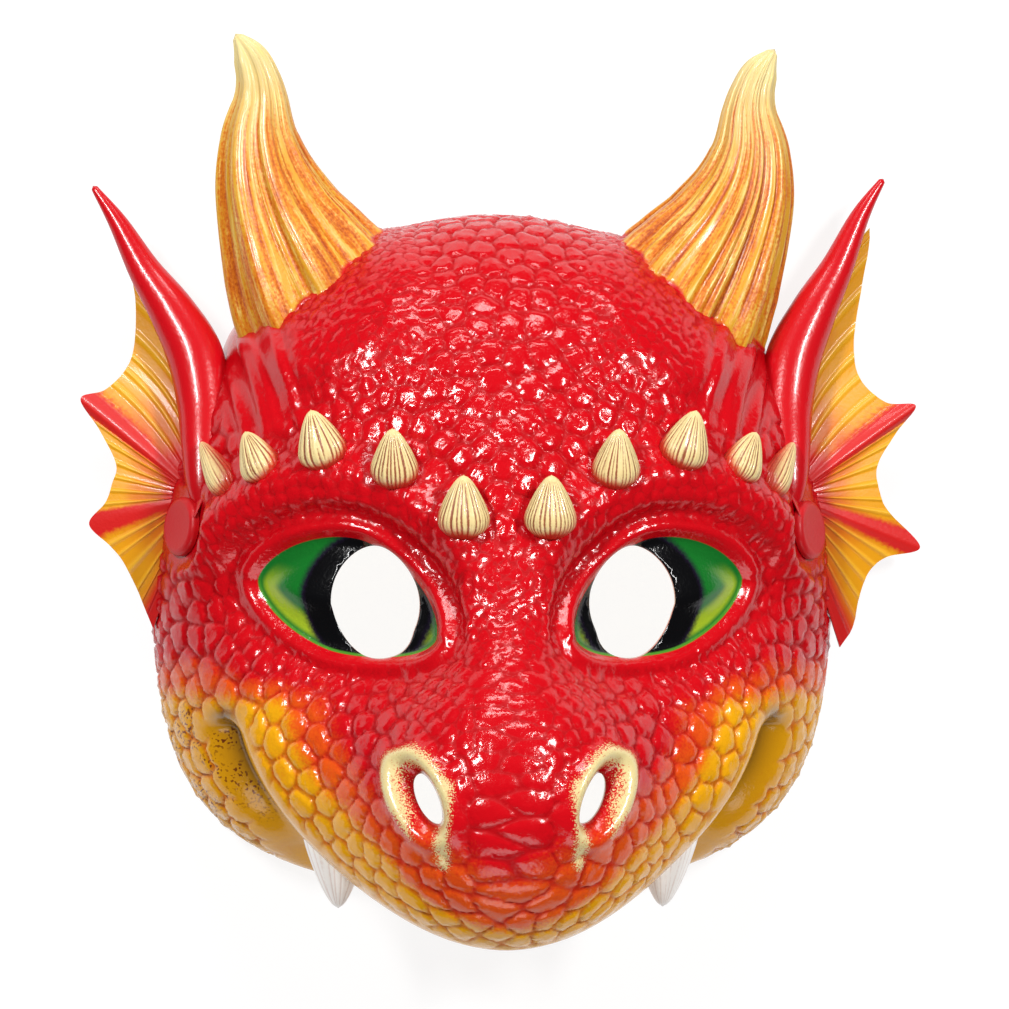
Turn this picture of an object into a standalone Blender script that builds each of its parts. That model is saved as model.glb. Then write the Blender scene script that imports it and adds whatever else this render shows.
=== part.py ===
"""Dragon half mask lying face up: one moulded shell with its horns, ear fins, spikes and fangs, and two rivets."""
import math

import bmesh
import bpy
import numpy as np
from mathutils.geometry import delaunay_2d_cdt

MM = 0.001

# Sizes in millimetres. X runs across the face, Y from chin to horns, Z out of the face.
WALL = 3.0
LIP_EXTRA_WALL = 2.2
HEAD_HALF_WIDTH = 88.6
HEAD_TOP = 94.0
HEAD_LOW = 81.5
HEAD_DEPTH = 67.0
HEAD_Y = 5.0
RAY_Y = -20.0
RAY_Z = 34.0
ARCH_HEIGHT = 9.0
ARCH_HALF_ANGLE = 0.42
LIP_HALF_WIDTH = 66.0
LIP_DROP = 57.0
LIP_Y = -30.0
GROOVE_DEPTH = 5.5
EYE_PLACE = (41.2, -1.0)
EYE_TILT = math.radians(16.0)
EYE_HALF_LENGTH = 22.6
EYE_RISE = 17.0
EYE_FALL = 10.8
EYE_FULLNESS = 1.72
EYE_HOLE_PLACE = (33.0, 0.4)
EYE_HOLE_HALF = (10.0, 13.4)
NOSTRIL_PLACE = (21.6, -46.5)
NOSTRIL_TILT = math.radians(-22.0)
NOSTRIL_PIT_HALF = (3.8, 8.6)
NOSTRIL_HOLE_HALF = (2.7, 7.0)
BROW_X = (0.0, 8.0, 16.0, 26.0, 36.0, 46.0, 58.0, 68.0, 78.0)
BROW_Y = (4.0, 12.0, 19.5, 26.0, 29.5, 30.0, 26.5, 20.5, 12.0)
BROW_HEIGHT = 5.0
SEAT_HALF = 9.0
RIVET_PLACE = {-1: (-79.6, 18.3), 1: (79.0, 17.4)}
RIVET_CAP = 15.0
RIVET_CAP_HEIGHT = 2.2
RIVET_SHANK = 4.0
RIVET_BORE = 4.6
RIVET_HEAD = 11.0
RIVET_HEAD_HEIGHT = 1.6
RIVET_GAP = 0.3
# each rivet lies in a round flat seat sunk into both faces of the wall
SEAT_DROP = 0.6
SEAT_MARGIN = 0.5
SEAT_REACH = 9.0
# centre line and width of the left horn, root first, then the tip
HORN_LINE = ((-41.5, 69.0), (-47.1, 79.7), (-51.5, 88.3), (-55.8, 97.9), (-59.0, 107.8), (-60.4, 117.5),
             (-60.1, 127.1), (-61.0, 133.1), (-63.0, 138.1), (-65.8, 142.4))
HORN_WIDTH = (47.0, 44.4, 39.0, 31.6, 25.4, 19.4, 13.6, 10.7, 8.3, 3.0)
HORN_FLATNESS = 0.80
HORN_ROOT_Z = 18.7
HORN_TIP_Z = 25.0
HORN_FLUTES = 9
HORN_FLUTE_DEPTH = 0.055
RIGHT_HORN_SHIFT = (4.6, -3.2)
# centre line and width of the left ear spar, tip first
SPAR_LINE = ((-102.6, 105.0), (-96.5, 96.0), (-89.8, 84.0), (-82.5, 73.0), (-76.8, 62.0), (-74.6, 50.0), (-74.4, 39.0),
             (-74.4, 29.0), (-73.6, 20.0))
SPAR_WIDTH = (1.8, 5.0, 8.4, 12.0, 14.4, 13.6, 11.6, 8.8, 4.0)
SPAR_Z = (12.0, 13.0, 14.5, 16.5, 18.5, 21.5, 25.5, 29.0, 31.0)
# edge of each fin as (x, y) from the spar down to the cheek, tips at the ribs
FIN_EDGE = {-1: ((-95.5, 91.5), (-94.0, 85.3), (-92.2, 76.3), (-92.5, 64.8), (-94.8, 58.4), (-100.0, 53.3),
                 (-106.2, 51.0), (-101.3, 43.0), (-97.0, 34.3), (-98.0, 29.2), (-99.7, 24.4), (-103.9, 18.9),
                 (-98.5, 13.3), (-95.3, 9.4), (-91.8, 2.5), (-89.9, -2.3), (-87.6, -8.0)),
            1: ((97.4, 95.5), (97.2, 90.5), (95.2, 79.3), (93.3, 66.0), (94.8, 56.6), (101.5, 50.4),
                (109.3, 49.5), (104.2, 42.5), (98.9, 33.9), (99.5, 26.9), (101.9, 22.0), (110.4, 12.9),
                (101.5, 10.3), (97.0, 6.6), (94.6, 0.3), (93.0, -7.7), (89.6, -13.0))}
FIN_RIB = (0.30, 0.0, -0.25, 0.0, 0.25, 0.55, 1.0, 0.35, -0.3, 0.1, 0.35, 1.0, 0.3, -0.1, 0.15, 0.3, 0.7)
FIN_APEX = (-76.0, 26.0)
FIN_BOW = 9.0
FIN_THICK = 2.6
FIN_TIP_Z = 9.6
FIN_ROOT_Z = 19.0
# left spikes: base centre, tip, base width, tip height over the skin
SPIKES = (((-69.4, 28.6), (-75.0, 39.6), 9.4, 5.0),
          ((-59.8, 32.0), (-63.8, 41.9), 12.2, 7.0),
          ((-44.6, 35.4), (-47.6, 47.0), 14.0, 8.5),
          ((-27.4, 30.8), (-27.8, 42.3), 13.6, 8.5),
          ((-11.0, 18.8), (-10.7, 30.9), 14.6, 8.0))
FANG_ROOT = (-42.0, -59.0)
FANG_TIP = (-40.6, -76.6)
FANG_WIDTH = 14.4
FANG_Z = 45.0
# spacing of the points on the skin near and away from its detail, and on the lining
FINE_MESH = 3.2
COARSE_MESH = 9.4
LINING_MESH = 12.0
RIVET_SIDES = 16
# the face is drawn on a head of this half width, length and depth, and its features follow the head's real ones
DRAWN_HEAD = (88.6, 175.5, 67.0)
FIT = np.array([HEAD_HALF_WIDTH, HEAD_TOP + HEAD_LOW, HEAD_DEPTH]) / DRAWN_HEAD


def step(low, high, value):
    t = np.clip((value - low) / (high - low), 0.0, 1.0)
    return t * t * (3.0 - 2.0 * t)


def bump(distance, width):
    return np.exp(-((distance / width) ** 2))


def join_soft(a, b, k):
    """The union of two fields with a rounded inside corner."""
    h = np.clip(0.5 + 0.5 * (b - a) / k, 0.0, 1.0)
    return b + (a - b) * h - k * h * (1.0 - h)


def meet_soft(a, b, k):
    """The common part of two fields with a rounded edge."""
    return -join_soft(-a, -b, k)


def loop_distance(u, v, a, b, n):
    """How far a point is outside a super-ellipse in the plane."""
    au = np.abs(u) / a
    av = np.abs(v) / b
    f = np.maximum((au ** n + av ** n) ** (1.0 / n), 1e-3)
    slope = np.hypot((au / f) ** (n - 1.0) / a, (av / f) ** (n - 1.0) / b)
    return (f - 1.0) / np.maximum(slope, 1e-6)


def ball(p, centre, radii, n):
    """How far a point is outside a rounded box with the exponent n."""
    q = np.abs(p - np.array(centre)) / np.array(radii)
    g = np.maximum((q ** n).sum(1) ** (1.0 / n), 1e-4)
    slope = (q / g[:, None]) ** (n - 1.0) / np.array(radii)
    return (g - 1.0) / np.sqrt((slope ** 2).sum(1))


def rod(p, start, end, r0, r1):
    """How far a point is outside a tapered round-ended rod."""
    start = np.array(start)
    d = np.array(end) - start
    t = np.clip((p - start) @ d / d.dot(d), 0.0, 1.0)
    return np.linalg.norm(p - start - t[:, None] * d, axis=1) - (r0 + (r1 - r0) * t)


def exponents(x, y):
    """Fullness of the head outline and of its section for a direction in the plane."""
    low = np.where(y > 0.0, HEAD_TOP, HEAD_LOW)
    qx = np.abs(x) / HEAD_HALF_WIDTH
    qy = np.abs(y) / low
    flat = np.maximum(np.hypot(qx, qy), 1e-4)
    down = np.clip(-y / low / flat, 0.0, 1.0)
    return qx, qy, 2.0 + 2.4 * down * (1.0 - down) ** 0.7 + 0.2 * down, 2.0 + 0.6 * (qy / flat) ** 2


def head(p):
    """How far a point is outside the plain head."""
    dy = p[:, 1] - HEAD_Y
    qx, qy, n, m = exponents(p[:, 0], dy)
    qz = np.abs(p[:, 2]) / HEAD_DEPTH
    r = np.maximum((qx ** n + qy ** n) ** (1.0 / n), 1e-4)
    g = np.maximum((r ** m + qz ** m) ** (1.0 / m), 1e-4)
    side = (r / g) ** (m - 1.0)
    gx = side * (qx / r) ** (n - 1.0) / HEAD_HALF_WIDTH
    gy = side * (qy / r) ** (n - 1.0) / np.where(dy > 0.0, HEAD_TOP, HEAD_LOW)
    gz = (qz / g) ** (m - 1.0) / HEAD_DEPTH
    return (g - 1.0) / np.sqrt(gx ** 2 + gy ** 2 + gz ** 2)


def lip_distance(x, y):
    """How far a point of the plane is outside the line of the upper lip."""
    x, y = x / FIT[0], y / FIT[1]
    return loop_distance(x, np.minimum(y - LIP_Y, 0.0), LIP_HALF_WIDTH, LIP_DROP, 1.6)


def masses(p):
    """The head with its muzzle, nose bridge, cheeks and the step at the upper lip."""
    q = p / FIT
    lip = lip_distance(*p.T[:2])
    x, y, z = q.T
    q[:, 0] = np.abs(x)
    skull = head(p)
    muzzle = ball(q, (0, -47.0, 46.0), (34.0, 42.0, 51.0), 2.3)
    wedge = ball(q, (0, -50.0, 18.0), (58.0, 47.0, 78.0), 1.75)
    upper = join_soft(skull, join_soft(muzzle, wedge, 12.0), 20.0)
    bridge = rod(q, (0, 30.0, 54.0), (0, -30.0, 70.0), 13.0, 17.0)
    upper = join_soft(upper, bridge, 14.0)
    cheek = ball(q, (38.0, -34.0, 24.0), (32.0, 30.0, 32.0), 2.2)
    upper = join_soft(upper, cheek, 16.0)
    pad = meet_soft(upper - 1.0, lip, 7.0)
    under = -0.80 * (y + 88.0) - 0.60 * (z - 72.0)
    pad = meet_soft(pad, under, 6.0)
    low = step(-20.0, -36.0, y)
    return upper * (1.0 - low) + join_soft(pad, skull, 5.0) * low


def eye_frame(x, y):
    """Place along and across the eye, and the distance outside its outline."""
    dx = np.abs(x) / FIT[0] - EYE_PLACE[0]
    dy = y / FIT[1] - EYE_PLACE[1]
    u = dx * math.cos(EYE_TILT) + dy * math.sin(EYE_TILT)
    v = -dx * math.sin(EYE_TILT) + dy * math.cos(EYE_TILT)
    above = loop_distance(u, v, EYE_HALF_LENGTH, EYE_RISE, EYE_FULLNESS)
    below = loop_distance(u, v, EYE_HALF_LENGTH, EYE_FALL, EYE_FULLNESS)
    return u, v, np.where(v > 0.0, above, below)


def nostril_frame(x, y):
    dx = np.abs(x) / FIT[0] - NOSTRIL_PLACE[0]
    dy = y / FIT[1] - NOSTRIL_PLACE[1]
    u = dx * math.cos(NOSTRIL_TILT) + dy * math.sin(NOSTRIL_TILT)
    v = -dx * math.sin(NOSTRIL_TILT) + dy * math.cos(NOSTRIL_TILT)
    return u, v, loop_distance(u, v, *NOSTRIL_PIT_HALF, 2.0)


def hollows(p, ease=0.0):
    """The soft sinks that both faces of the wall follow, the inner one more loosely."""
    x, y = p.T[:2]
    z = p[:, 2] / FIT[2]
    front = step(14.0, 34.0, z)
    eye = eye_frame(x, y)[2]
    rise = -4.5 * bump(np.maximum(eye, 0.0), 9.0) * front
    rise += 3.6 * (1.0 - bump(np.minimum(eye, 0.0), 8.0)) * front
    rise += BROW_HEIGHT * brow(x, y) * front
    corner = np.maximum(0.0, y / FIT[1] - LIP_Y + 4.0)
    groove = np.hypot(lip_distance(x, y) - 4.2, corner)
    muzzle = step(60.0, 72.0, z)
    aside = np.abs(x) / FIT[0]
    rise += -GROOVE_DEPTH * bump(groove, 3.2 + ease) * step(34.0, 46.0, aside) * step(10.0, 22.0, z)
    pit = nostril_frame(x, y)[2]
    rise += -3.0 * bump(np.maximum(pit + 1.0, 0.0), 4.5) * muzzle
    return rise


def brow(x, y):
    reach = np.abs(x) / FIT[0]
    drop = (y / FIT[1] - np.interp(reach, BROW_X, BROW_Y)) * 0.9
    fade = step(3.0, 12.0, reach) * step(88.0, 74.0, reach)
    return bump(np.where(drop > 0.0, drop, drop * 0.8), 7.0) * fade


def relief(p):
    """Height of the lids, nostril rims and folds over the soft form."""
    x, y = p.T[:2]
    z = p[:, 2] / FIT[2]
    front = step(14.0, 34.0, z)
    u, v, eye = eye_frame(x, y)
    rise = np.where(v > 0.0, 2.8, 2.0) * bump(eye - 2.3, 1.9) * front
    nu, nv, pit = nostril_frame(x, y)
    muzzle = step(60.0, 72.0, z)
    ring = bump(pit - 1.9, 2.3) * (0.75 + 0.25 * step(-9.0, 6.0, nv))
    rise += (4.2 * ring - 1.5 * step(0.0, -2.5, pit)) * muzzle
    for side in (-1, 1):
        line = horn_line(side)
        reach = np.hypot(x - line[1][0], y - line[1][1])
        along = (y - line[1][1]) * 0.86 + (x - line[1][0]) * side * 0.5
        rise += 2.6 * bump(np.maximum(reach - 21.0, 0.0), 6.0) * step(14.0, -6.0, along)
    return rise


def horn_line(side):
    """Centre line of a horn in the plane; the right one stands a little lower and wider."""
    line = np.array(HORN_LINE)
    if side > 0:
        lean = step(0.0, 5.0, np.arange(len(line)))[:, None]
        line = line * (-1.0, 1.0) + np.array(RIGHT_HORN_SHIFT) * (0.45 + 0.55 * lean)
    return line * FIT[:2]


def disc_point(rho, theta):
    """Point of the plain head for a place on the unit disc."""
    c = np.cos(theta)
    s = np.sin(theta)
    qx, qy, n, m = exponents(c, s)
    reach = 1.0 / (qx ** n + qy ** n) ** (1.0 / n)
    from_chin = np.abs((theta + math.pi / 2 + math.pi) % (2 * math.pi) - math.pi)
    arch = ARCH_HEIGHT * step(ARCH_HALF_ANGLE * 1.5, ARCH_HALF_ANGLE * 0.5, from_chin)
    turn = np.arccos((arch / HEAD_DEPTH) ** (m / 2.0)) * rho
    flat = reach * np.sin(turn) ** (2.0 / m)
    height = np.maximum(np.cos(turn), 0.0) ** (2.0 / m)
    return np.stack([flat * c, HEAD_Y + flat * s, HEAD_DEPTH * height], 1)


def cast(start, field, level):
    """Each point goes out along its ray to the place where the field has this level."""
    depth = RAY_Z * FIT[2]
    base = 1.0 - math.exp(-HEAD_DEPTH / depth)
    foot = np.stack([np.zeros(len(start)), np.full(len(start), RAY_Y * FIT[1]),
                     depth * (1.0 - np.exp(-start[:, 2] / depth)) / base], 1)
    ray = start - foot
    ray /= np.linalg.norm(ray, axis=1)[:, None]
    near = np.full(len(start), 72.0)
    far = near.copy()
    done = np.zeros(len(start), bool)
    for _ in range(60):
        value = field(start + near[:, None] * ray) - level
        done |= value <= 0.0
        if done.all():
            break
        far = np.where(done, far, near)
        near = np.where(done, near, np.maximum(near - np.maximum(0.6 * value, 0.2), -30.0))
    for _ in range(10):
        middle = 0.5 * (near + far)
        inside = field(start + middle[:, None] * ray) <= level
        near = np.where(inside, middle, near)
        far = np.where(inside, far, middle)
    return start + near[:, None] * ray


def slope(p, field):
    """Outward unit normal of a field."""
    rows = [field(p + d) - field(p - d) for d in np.eye(3) * 0.05]
    g = np.stack(rows, 1)
    return g / np.maximum(np.linalg.norm(g, axis=1)[:, None], 1e-9)


def seats():
    """Where each rivet passes the wall: (centre, outward axis) on the plain form."""
    found = {}
    for side, place in RIVET_PLACE.items():
        x, y = np.array(place) * FIT[:2]
        z = np.linspace(5.0, 60.0, 500) * FIT[2]
        column = np.stack([np.full(500, x), np.full(500, y), z], 1)
        z = z[np.argmin(np.abs(masses(column)))]
        centre = np.array([x, y, z])
        found[side] = (centre, slope(centre[None], masses)[0])
    return found


SEATS = seats()
RIM = np.stack([np.cos(np.arange(84) / 42 * math.pi), np.sin(np.arange(84) / 42 * math.pi)], 1)


def flatten(p, drop):
    """Press the skin flat under the rivet caps, or the lining under their inner heads."""
    for centre, axis in SEATS.values():
        off = p - centre
        high = off @ axis
        side = np.linalg.norm(off - high[:, None] * axis, axis=1)
        share = step(SEAT_HALF + 5.0, SEAT_HALF, side) * (np.abs(high) < 14.0)
        p = p - (share * (high + drop))[:, None] * axis
    return p


def core(rho, theta):
    """Point of the soft form before any hollow or relief."""
    return cast(disc_point(rho, theta), masses, 0.0)


def skin(rho, theta):
    """Point of the outer face of the shell."""
    p = cast(disc_point(rho, theta), masses, 0.0)
    p = p + (hollows(p) + relief(p))[:, None] * slope(p, masses)
    return flatten(p, SEAT_DROP)


def lining(rho, theta):
    """Point of the inner face of the shell."""
    p = cast(disc_point(rho, theta), masses, -WALL)
    below = step(-26.0, -40.0, p[:, 1] / FIT[1])
    thicker = LIP_EXTRA_WALL * bump(lip_distance(p[:, 0], p[:, 1]) - 1.0, 9.0) * below
    p = p + (hollows(p, 4.0) - thicker)[:, None] * slope(p, masses)
    return flatten(p, SEAT_DROP + WALL)


def spread(place, spacing):
    """Places on the disc in rings that lie evenly on the surface."""
    rows, columns = 70, 180
    rho = np.linspace(0.002, 1.0, rows)
    theta = np.linspace(-math.pi / 2, 1.5 * math.pi, columns + 1)
    grid = [np.repeat(rho, columns + 1), np.tile(theta, rows)]
    p = place(*grid).reshape(rows, columns + 1, 3)
    run = np.zeros((rows, columns + 1))
    run[1:] = np.cumsum(np.linalg.norm(np.diff(p, axis=0), axis=2), axis=0)
    count = int(round(run[-1].mean() / (spacing * 0.87)))
    out = [np.zeros((1, 2))]
    for k in range(1, count + 1):
        row = np.array([np.interp(run[-1, j] * k / count, run[:, j], rho) for j in range(columns + 1)])
        at = np.clip((row - rho[0]) / (rho[1] - rho[0]), 0, rows - 1.001)
        low = at.astype(int)
        part = (at - low)[:, None]
        ring = p[low, np.arange(columns + 1)] * (1 - part) + p[low + 1, np.arange(columns + 1)] * part
        length = np.concatenate([[0.0], np.cumsum(np.linalg.norm(np.diff(ring, axis=0), axis=1))])
        n = max(6, int(round(length[-1] / spacing)))
        marks = (np.arange(n) + 0.5 * (k % 2)) / n * length[-1]
        turn = np.interp(marks, length, theta)
        out.append(np.stack([np.interp(turn, theta, row), turn], 1))
    return np.concatenate(out)


def find(xy, place):
    """Disc places, as flat (u, v), of the surface points that lie over these (x, y)."""
    rho, theta = np.meshgrid(np.linspace(0.01, 0.9, 60), np.linspace(0, 2 * math.pi, 121)[:-1])
    rho, theta = rho.ravel(), theta.ravel()
    p = place(rho, theta)
    gap = np.linalg.norm(p[None, :, :2] - xy[:, None], axis=2)
    best = gap.argmin(1)
    flat = np.stack([rho[best] * np.cos(theta[best]), rho[best] * np.sin(theta[best])], 1)

    def at(f):
        return place(np.hypot(*f.T), np.arctan2(f[:, 1], f[:, 0]))[:, :2]

    for _ in range(8):
        miss = xy - at(flat)
        du = (at(flat + (0.002, 0.0)) - at(flat - (0.002, 0.0))) / 0.004
        dv = (at(flat + (0.0, 0.002)) - at(flat - (0.0, 0.002))) / 0.004
        det = du[:, 0] * dv[:, 1] - du[:, 1] * dv[:, 0]
        move = np.stack([(miss[:, 0] * dv[:, 1] - miss[:, 1] * dv[:, 0]) / det,
                         (du[:, 0] * miss[:, 1] - du[:, 1] * miss[:, 0]) / det], 1)
        size = np.linalg.norm(move, axis=1)[:, None]
        flat = flat + move * np.minimum(1.0, 0.03 / np.maximum(size, 1e-9))
    return flat


def oval(centre, half, tilt, count, side):
    a = np.arange(count) / count * 2 * math.pi
    u, v = half[0] * np.cos(a), half[1] * np.sin(a)
    x = centre[0] + u * math.cos(tilt) - v * math.sin(tilt)
    y = centre[1] + u * math.sin(tilt) + v * math.cos(tilt)
    return np.stack([side * x, y], 1) * FIT[:2]


def eye_line(offset, count, side):
    """Loop of (x, y) at this distance outside the eye outline."""
    a = np.arange(count) / count * 2 * math.pi
    c, s = np.cos(a), np.sin(a)
    rise = np.where(s > 0, EYE_RISE, EYE_FALL) + offset
    u = (EYE_HALF_LENGTH + offset) * np.sign(c) * np.abs(c) ** (2 / EYE_FULLNESS)
    v = rise * np.sign(s) * np.abs(s) ** (2 / EYE_FULLNESS)
    x = EYE_PLACE[0] + u * math.cos(EYE_TILT) - v * math.sin(EYE_TILT)
    y = EYE_PLACE[1] + u * math.sin(EYE_TILT) + v * math.cos(EYE_TILT)
    return np.stack([side * x, y], 1) * FIT[:2]


def lip_line(offset, low, high, gap, side):
    """Row of (x, y) along one side of the upper lip at this distance outside it."""
    a = np.linspace(math.pi, math.pi * 1.5, 400)
    x = (LIP_HALF_WIDTH + offset) * np.abs(np.cos(a)) ** (2 / 1.6)
    y = LIP_Y - (LIP_DROP + offset) * np.abs(np.sin(a)) ** (2 / 1.6)
    return even(np.stack([side * x, y], 1)[(y < high) & (y > low)] * FIT[:2], gap)


def brow_line(offset, low, high, gap, side):
    x = np.linspace(low, high, 200)
    y = np.interp(x, BROW_X, BROW_Y) + offset
    return even(np.stack([side * x, y], 1) * FIT[:2], gap)


def even(row, gap):
    """The same open row with points this far apart."""
    run = np.concatenate([[0.0], np.cumsum(np.linalg.norm(np.diff(row, axis=0), axis=1))])
    at = np.linspace(0.0, run[-1], max(2, int(round(run[-1] / gap)) + 1))
    return np.stack([np.interp(at, run, row[:, 0]), np.interp(at, run, row[:, 1])], 1)


def sheet(place, rim, flat, holes, lines, keep_off):
    """Triangles over the disc places, with the rim, the hole outlines and the feature lines as edges."""
    marks = [tuple(q) for loop in [rim] + holes for q in loop]
    edges = []
    first = 0
    for loop in [rim] + holes:
        edges += [(first + i, first + (i + 1) % len(loop)) for i in range(len(loop))]
        first += len(loop)
    hole_spots = place(*polar(np.array(marks)))
    for loop, is_closed in lines:
        spots = place(*polar(loop))
        clear = np.array([np.linalg.norm(hole_spots - q, axis=1).min() for q in spots]) > keep_off
        for hole in holes:
            clear &= ~inside(loop, hole)
        number = {}
        for i in np.nonzero(clear)[0]:
            number[i] = len(marks)
            marks.append(tuple(loop[i]))
        for i in number:
            after = (i + 1) % len(loop) if is_closed else i + 1
            if after in number:
                edges.append((number[i], number[after]))
    spots = place(*polar(np.array(marks)))
    free = place(*polar(flat))
    good = np.array([np.linalg.norm(spots - q, axis=1).min() for q in free]) > keep_off
    for loop in holes:
        good &= ~inside(flat, loop)
    points = np.concatenate([np.array(marks), flat[good]])
    made = delaunay_2d_cdt([tuple(q) for q in points], edges, [], 0, 1e-7, False)
    flat = np.array([tuple(q) for q in made[0]])
    tris = np.array([f for f in made[2]])
    middle = flat[tris].mean(1)
    good = np.ones(len(tris), bool)
    for loop in holes:
        good &= ~inside(middle, loop)
    return flat, tris[good]


def inside(q, loop):
    """Whether each flat point lies inside a closed loop."""
    a = loop
    b = np.roll(loop, -1, axis=0)
    x, y = q[:, 0][:, None], q[:, 1][:, None]
    cross = (a[:, 1] > y) != (b[:, 1] > y)
    rise = np.where(b[:, 1] == a[:, 1], 1e-12, b[:, 1] - a[:, 1])
    at = a[:, 0] + (y - a[:, 1]) * (b[:, 0] - a[:, 0]) / rise
    return ((cross & (x < at)).sum(1) % 2) == 1


def thin(p, reach):
    """Indices of points kept so that none is closer than its reach to an earlier one."""
    cell = reach.max()
    book = {}
    kept = []
    for i, q in enumerate(p):
        key = tuple((q // cell).astype(int))
        near = [j for a in (-1, 0, 1) for b in (-1, 0, 1) for c in (-1, 0, 1)
                for j in book.get((key[0] + a, key[1] + b, key[2] + c), ())]
        if near and np.min(np.linalg.norm(p[near] - q, axis=1)) < reach[i]:
            continue
        book.setdefault(key, []).append(i)
        kept.append(i)
    return np.array(kept)


def polar(flat):
    return np.hypot(*flat.T), np.arctan2(flat[:, 1], flat[:, 0])


def plane(places):
    return np.stack([places[:, 0] * np.cos(places[:, 1]), places[:, 0] * np.sin(places[:, 1])], 1)


def outer_body(fine, coarse):
    """Closed solid under the outer face, with a flat underside at the rim."""
    lines = []
    for side in (-1, 1):
        for offset, count in ((0.0, 36), (2.4, 38), (5.4, 34)):
            lines.append((find(eye_line(offset, count, side), core), True))
        for offset, count in ((1.8, 18), (5.0, 16)):
            half = (NOSTRIL_PIT_HALF[0] + offset, NOSTRIL_PIT_HALF[1] + offset)
            lines.append((find(oval(NOSTRIL_PLACE, half, NOSTRIL_TILT, count, side), core), True))
        for offset, low, high in ((0.3, 4.0, 78.0), (10.5, 6.0, 72.0)):
            lines.append((find(brow_line(offset, low, high, 4.6, side), core), False))
        for offset, low, high in ((-2.5, -78.0, -36.0), (4.2, -66.0, -34.5), (8.4, -64.0, -38.0)):
            lines.append((find(lip_line(offset, low, high, 4.2, side), core), False))
    flat = plane(spread(skin, 1.7))
    flat = flat[np.hypot(*flat.T) < 0.97]
    p = skin(*polar(flat))
    eye = np.abs(eye_frame(p[:, 0], p[:, 1])[2]) - 6.0
    pit = np.abs(nostril_frame(p[:, 0], p[:, 1])[2]) - 4.0
    lip = np.where(p[:, 1] < LIP_Y * FIT[1] - 2.0, np.abs(lip_distance(p[:, 0], p[:, 1]) - 2.0) - 5.0, 40.0)
    far = np.where(p[:, 2] < 14.0, 30.0, np.minimum(np.minimum(eye, pit), lip))
    jaw = (p[:, 1] < -55.0 * FIT[1]) & (p[:, 2] < 60.0 * FIT[2])
    far = np.where(jaw, np.minimum(far, 6.0), far)
    reach = fine + (coarse - fine) * step(0.0, 16.0, far)
    order = np.argsort(reach, kind="stable")
    kept = order[thin(p[order], reach[order])]
    flat, tris = sheet(skin, RIM, flat[kept], [], lines, fine * 0.62)
    points = skin(*polar(flat))
    middle = np.array([0.0, RAY_Y * FIT[1], 0.0])
    ledge = points[:len(RIM)] - middle
    ledge = ledge * (1.0 - 9.0 / np.linalg.norm(ledge[:, :2], axis=1))[:, None] * (1, 1, 0) \
        + points[:len(RIM)] * (0, 0, 1) + middle
    return capped(points, tris, ledge, middle + (0.0, 0.0, 2.0))


def cavity_body(gap):
    """Closed solid that fills the hollow of the mask and reaches below its rim."""
    flat = plane(spread(lining, gap * 0.4))
    p = lining(*polar(flat))
    reach = gap * (0.55 + 0.45 * step(-52.0, -34.0, p[:, 1] / FIT[1]))
    flat = flat[thin(p, reach)]
    flat, tris = sheet(lining, RIM, flat[np.hypot(*flat.T) < 0.96], [], [], gap * 0.35)
    points = lining(*polar(flat))
    points[:len(RIM), 2] -= 0.6
    return capped(points, tris, points[:len(RIM)] * (1, 1, 0) + (0, 0, -12.0), (0.0, RAY_Y * FIT[1], -12.0))


def capped(points, tris, ring, centre):
    """The sheet closed below through a second ring and a centre point."""
    n = len(RIM)
    base = len(points)
    faces = [tuple(t) for t in tris]
    for i in range(n):
        j = (i + 1) % n
        faces += [(i, base + i, base + j), (i, base + j, j), (base + i, base + n, base + j)]
    return np.concatenate([points, ring, [centre]]), faces


def prism(loop, low, high):
    """Upright closed body over a loop of (x, y)."""
    n = len(loop)
    points = np.concatenate([np.concatenate([loop, np.full((n, 1), z)], 1) for z in (low, high)])
    faces = [tuple(range(n))[::-1], tuple(range(n, 2 * n))]
    faces += [(i, (i + 1) % n, n + (i + 1) % n, n + i) for i in range(n)]
    return points, faces


def closed(name, vertices, faces):
    """Blender object in metres from millimetre points, faces turned outward."""
    mesh = bpy.data.meshes.new(name)
    mesh.from_pydata((np.asarray(vertices) * MM).tolist(), [], [tuple(int(i) for i in f) for f in faces])
    work = bmesh.new()
    work.from_mesh(mesh)
    bmesh.ops.remove_doubles(work, verts=work.verts, dist=1e-6)
    bmesh.ops.recalc_face_normals(work, faces=work.faces)
    if work.calc_volume(signed=True) < 0.0:
        bmesh.ops.reverse_faces(work, faces=work.faces)
    work.to_mesh(mesh)
    work.free()
    made = bpy.data.objects.new(name, mesh)
    bpy.context.collection.objects.link(made)
    return made


def smooth_row(values, count, start=0.0, end=None):
    """Smooth samples through a row of values, by position in the row."""
    values = np.asarray(values, float)
    if values.ndim == 1:
        values = values[:, None]
    n = len(values)
    end = n - 1 if end is None else end
    t = np.linspace(start, end, count)
    k = np.clip(t.astype(int), 0, n - 2)
    f = (t - k)[:, None]
    padded = np.concatenate([2 * values[:1] - values[1:2], values, 2 * values[-1:] - values[-2:-1]])
    a, b, c, d = padded[k], padded[k + 1], padded[k + 2], padded[k + 3]
    return 0.5 * (2 * b + (c - a) * f + (2 * a - 5 * b + 4 * c - d) * f ** 2 + (3 * b - a - 3 * c + d) * f ** 3)


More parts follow.
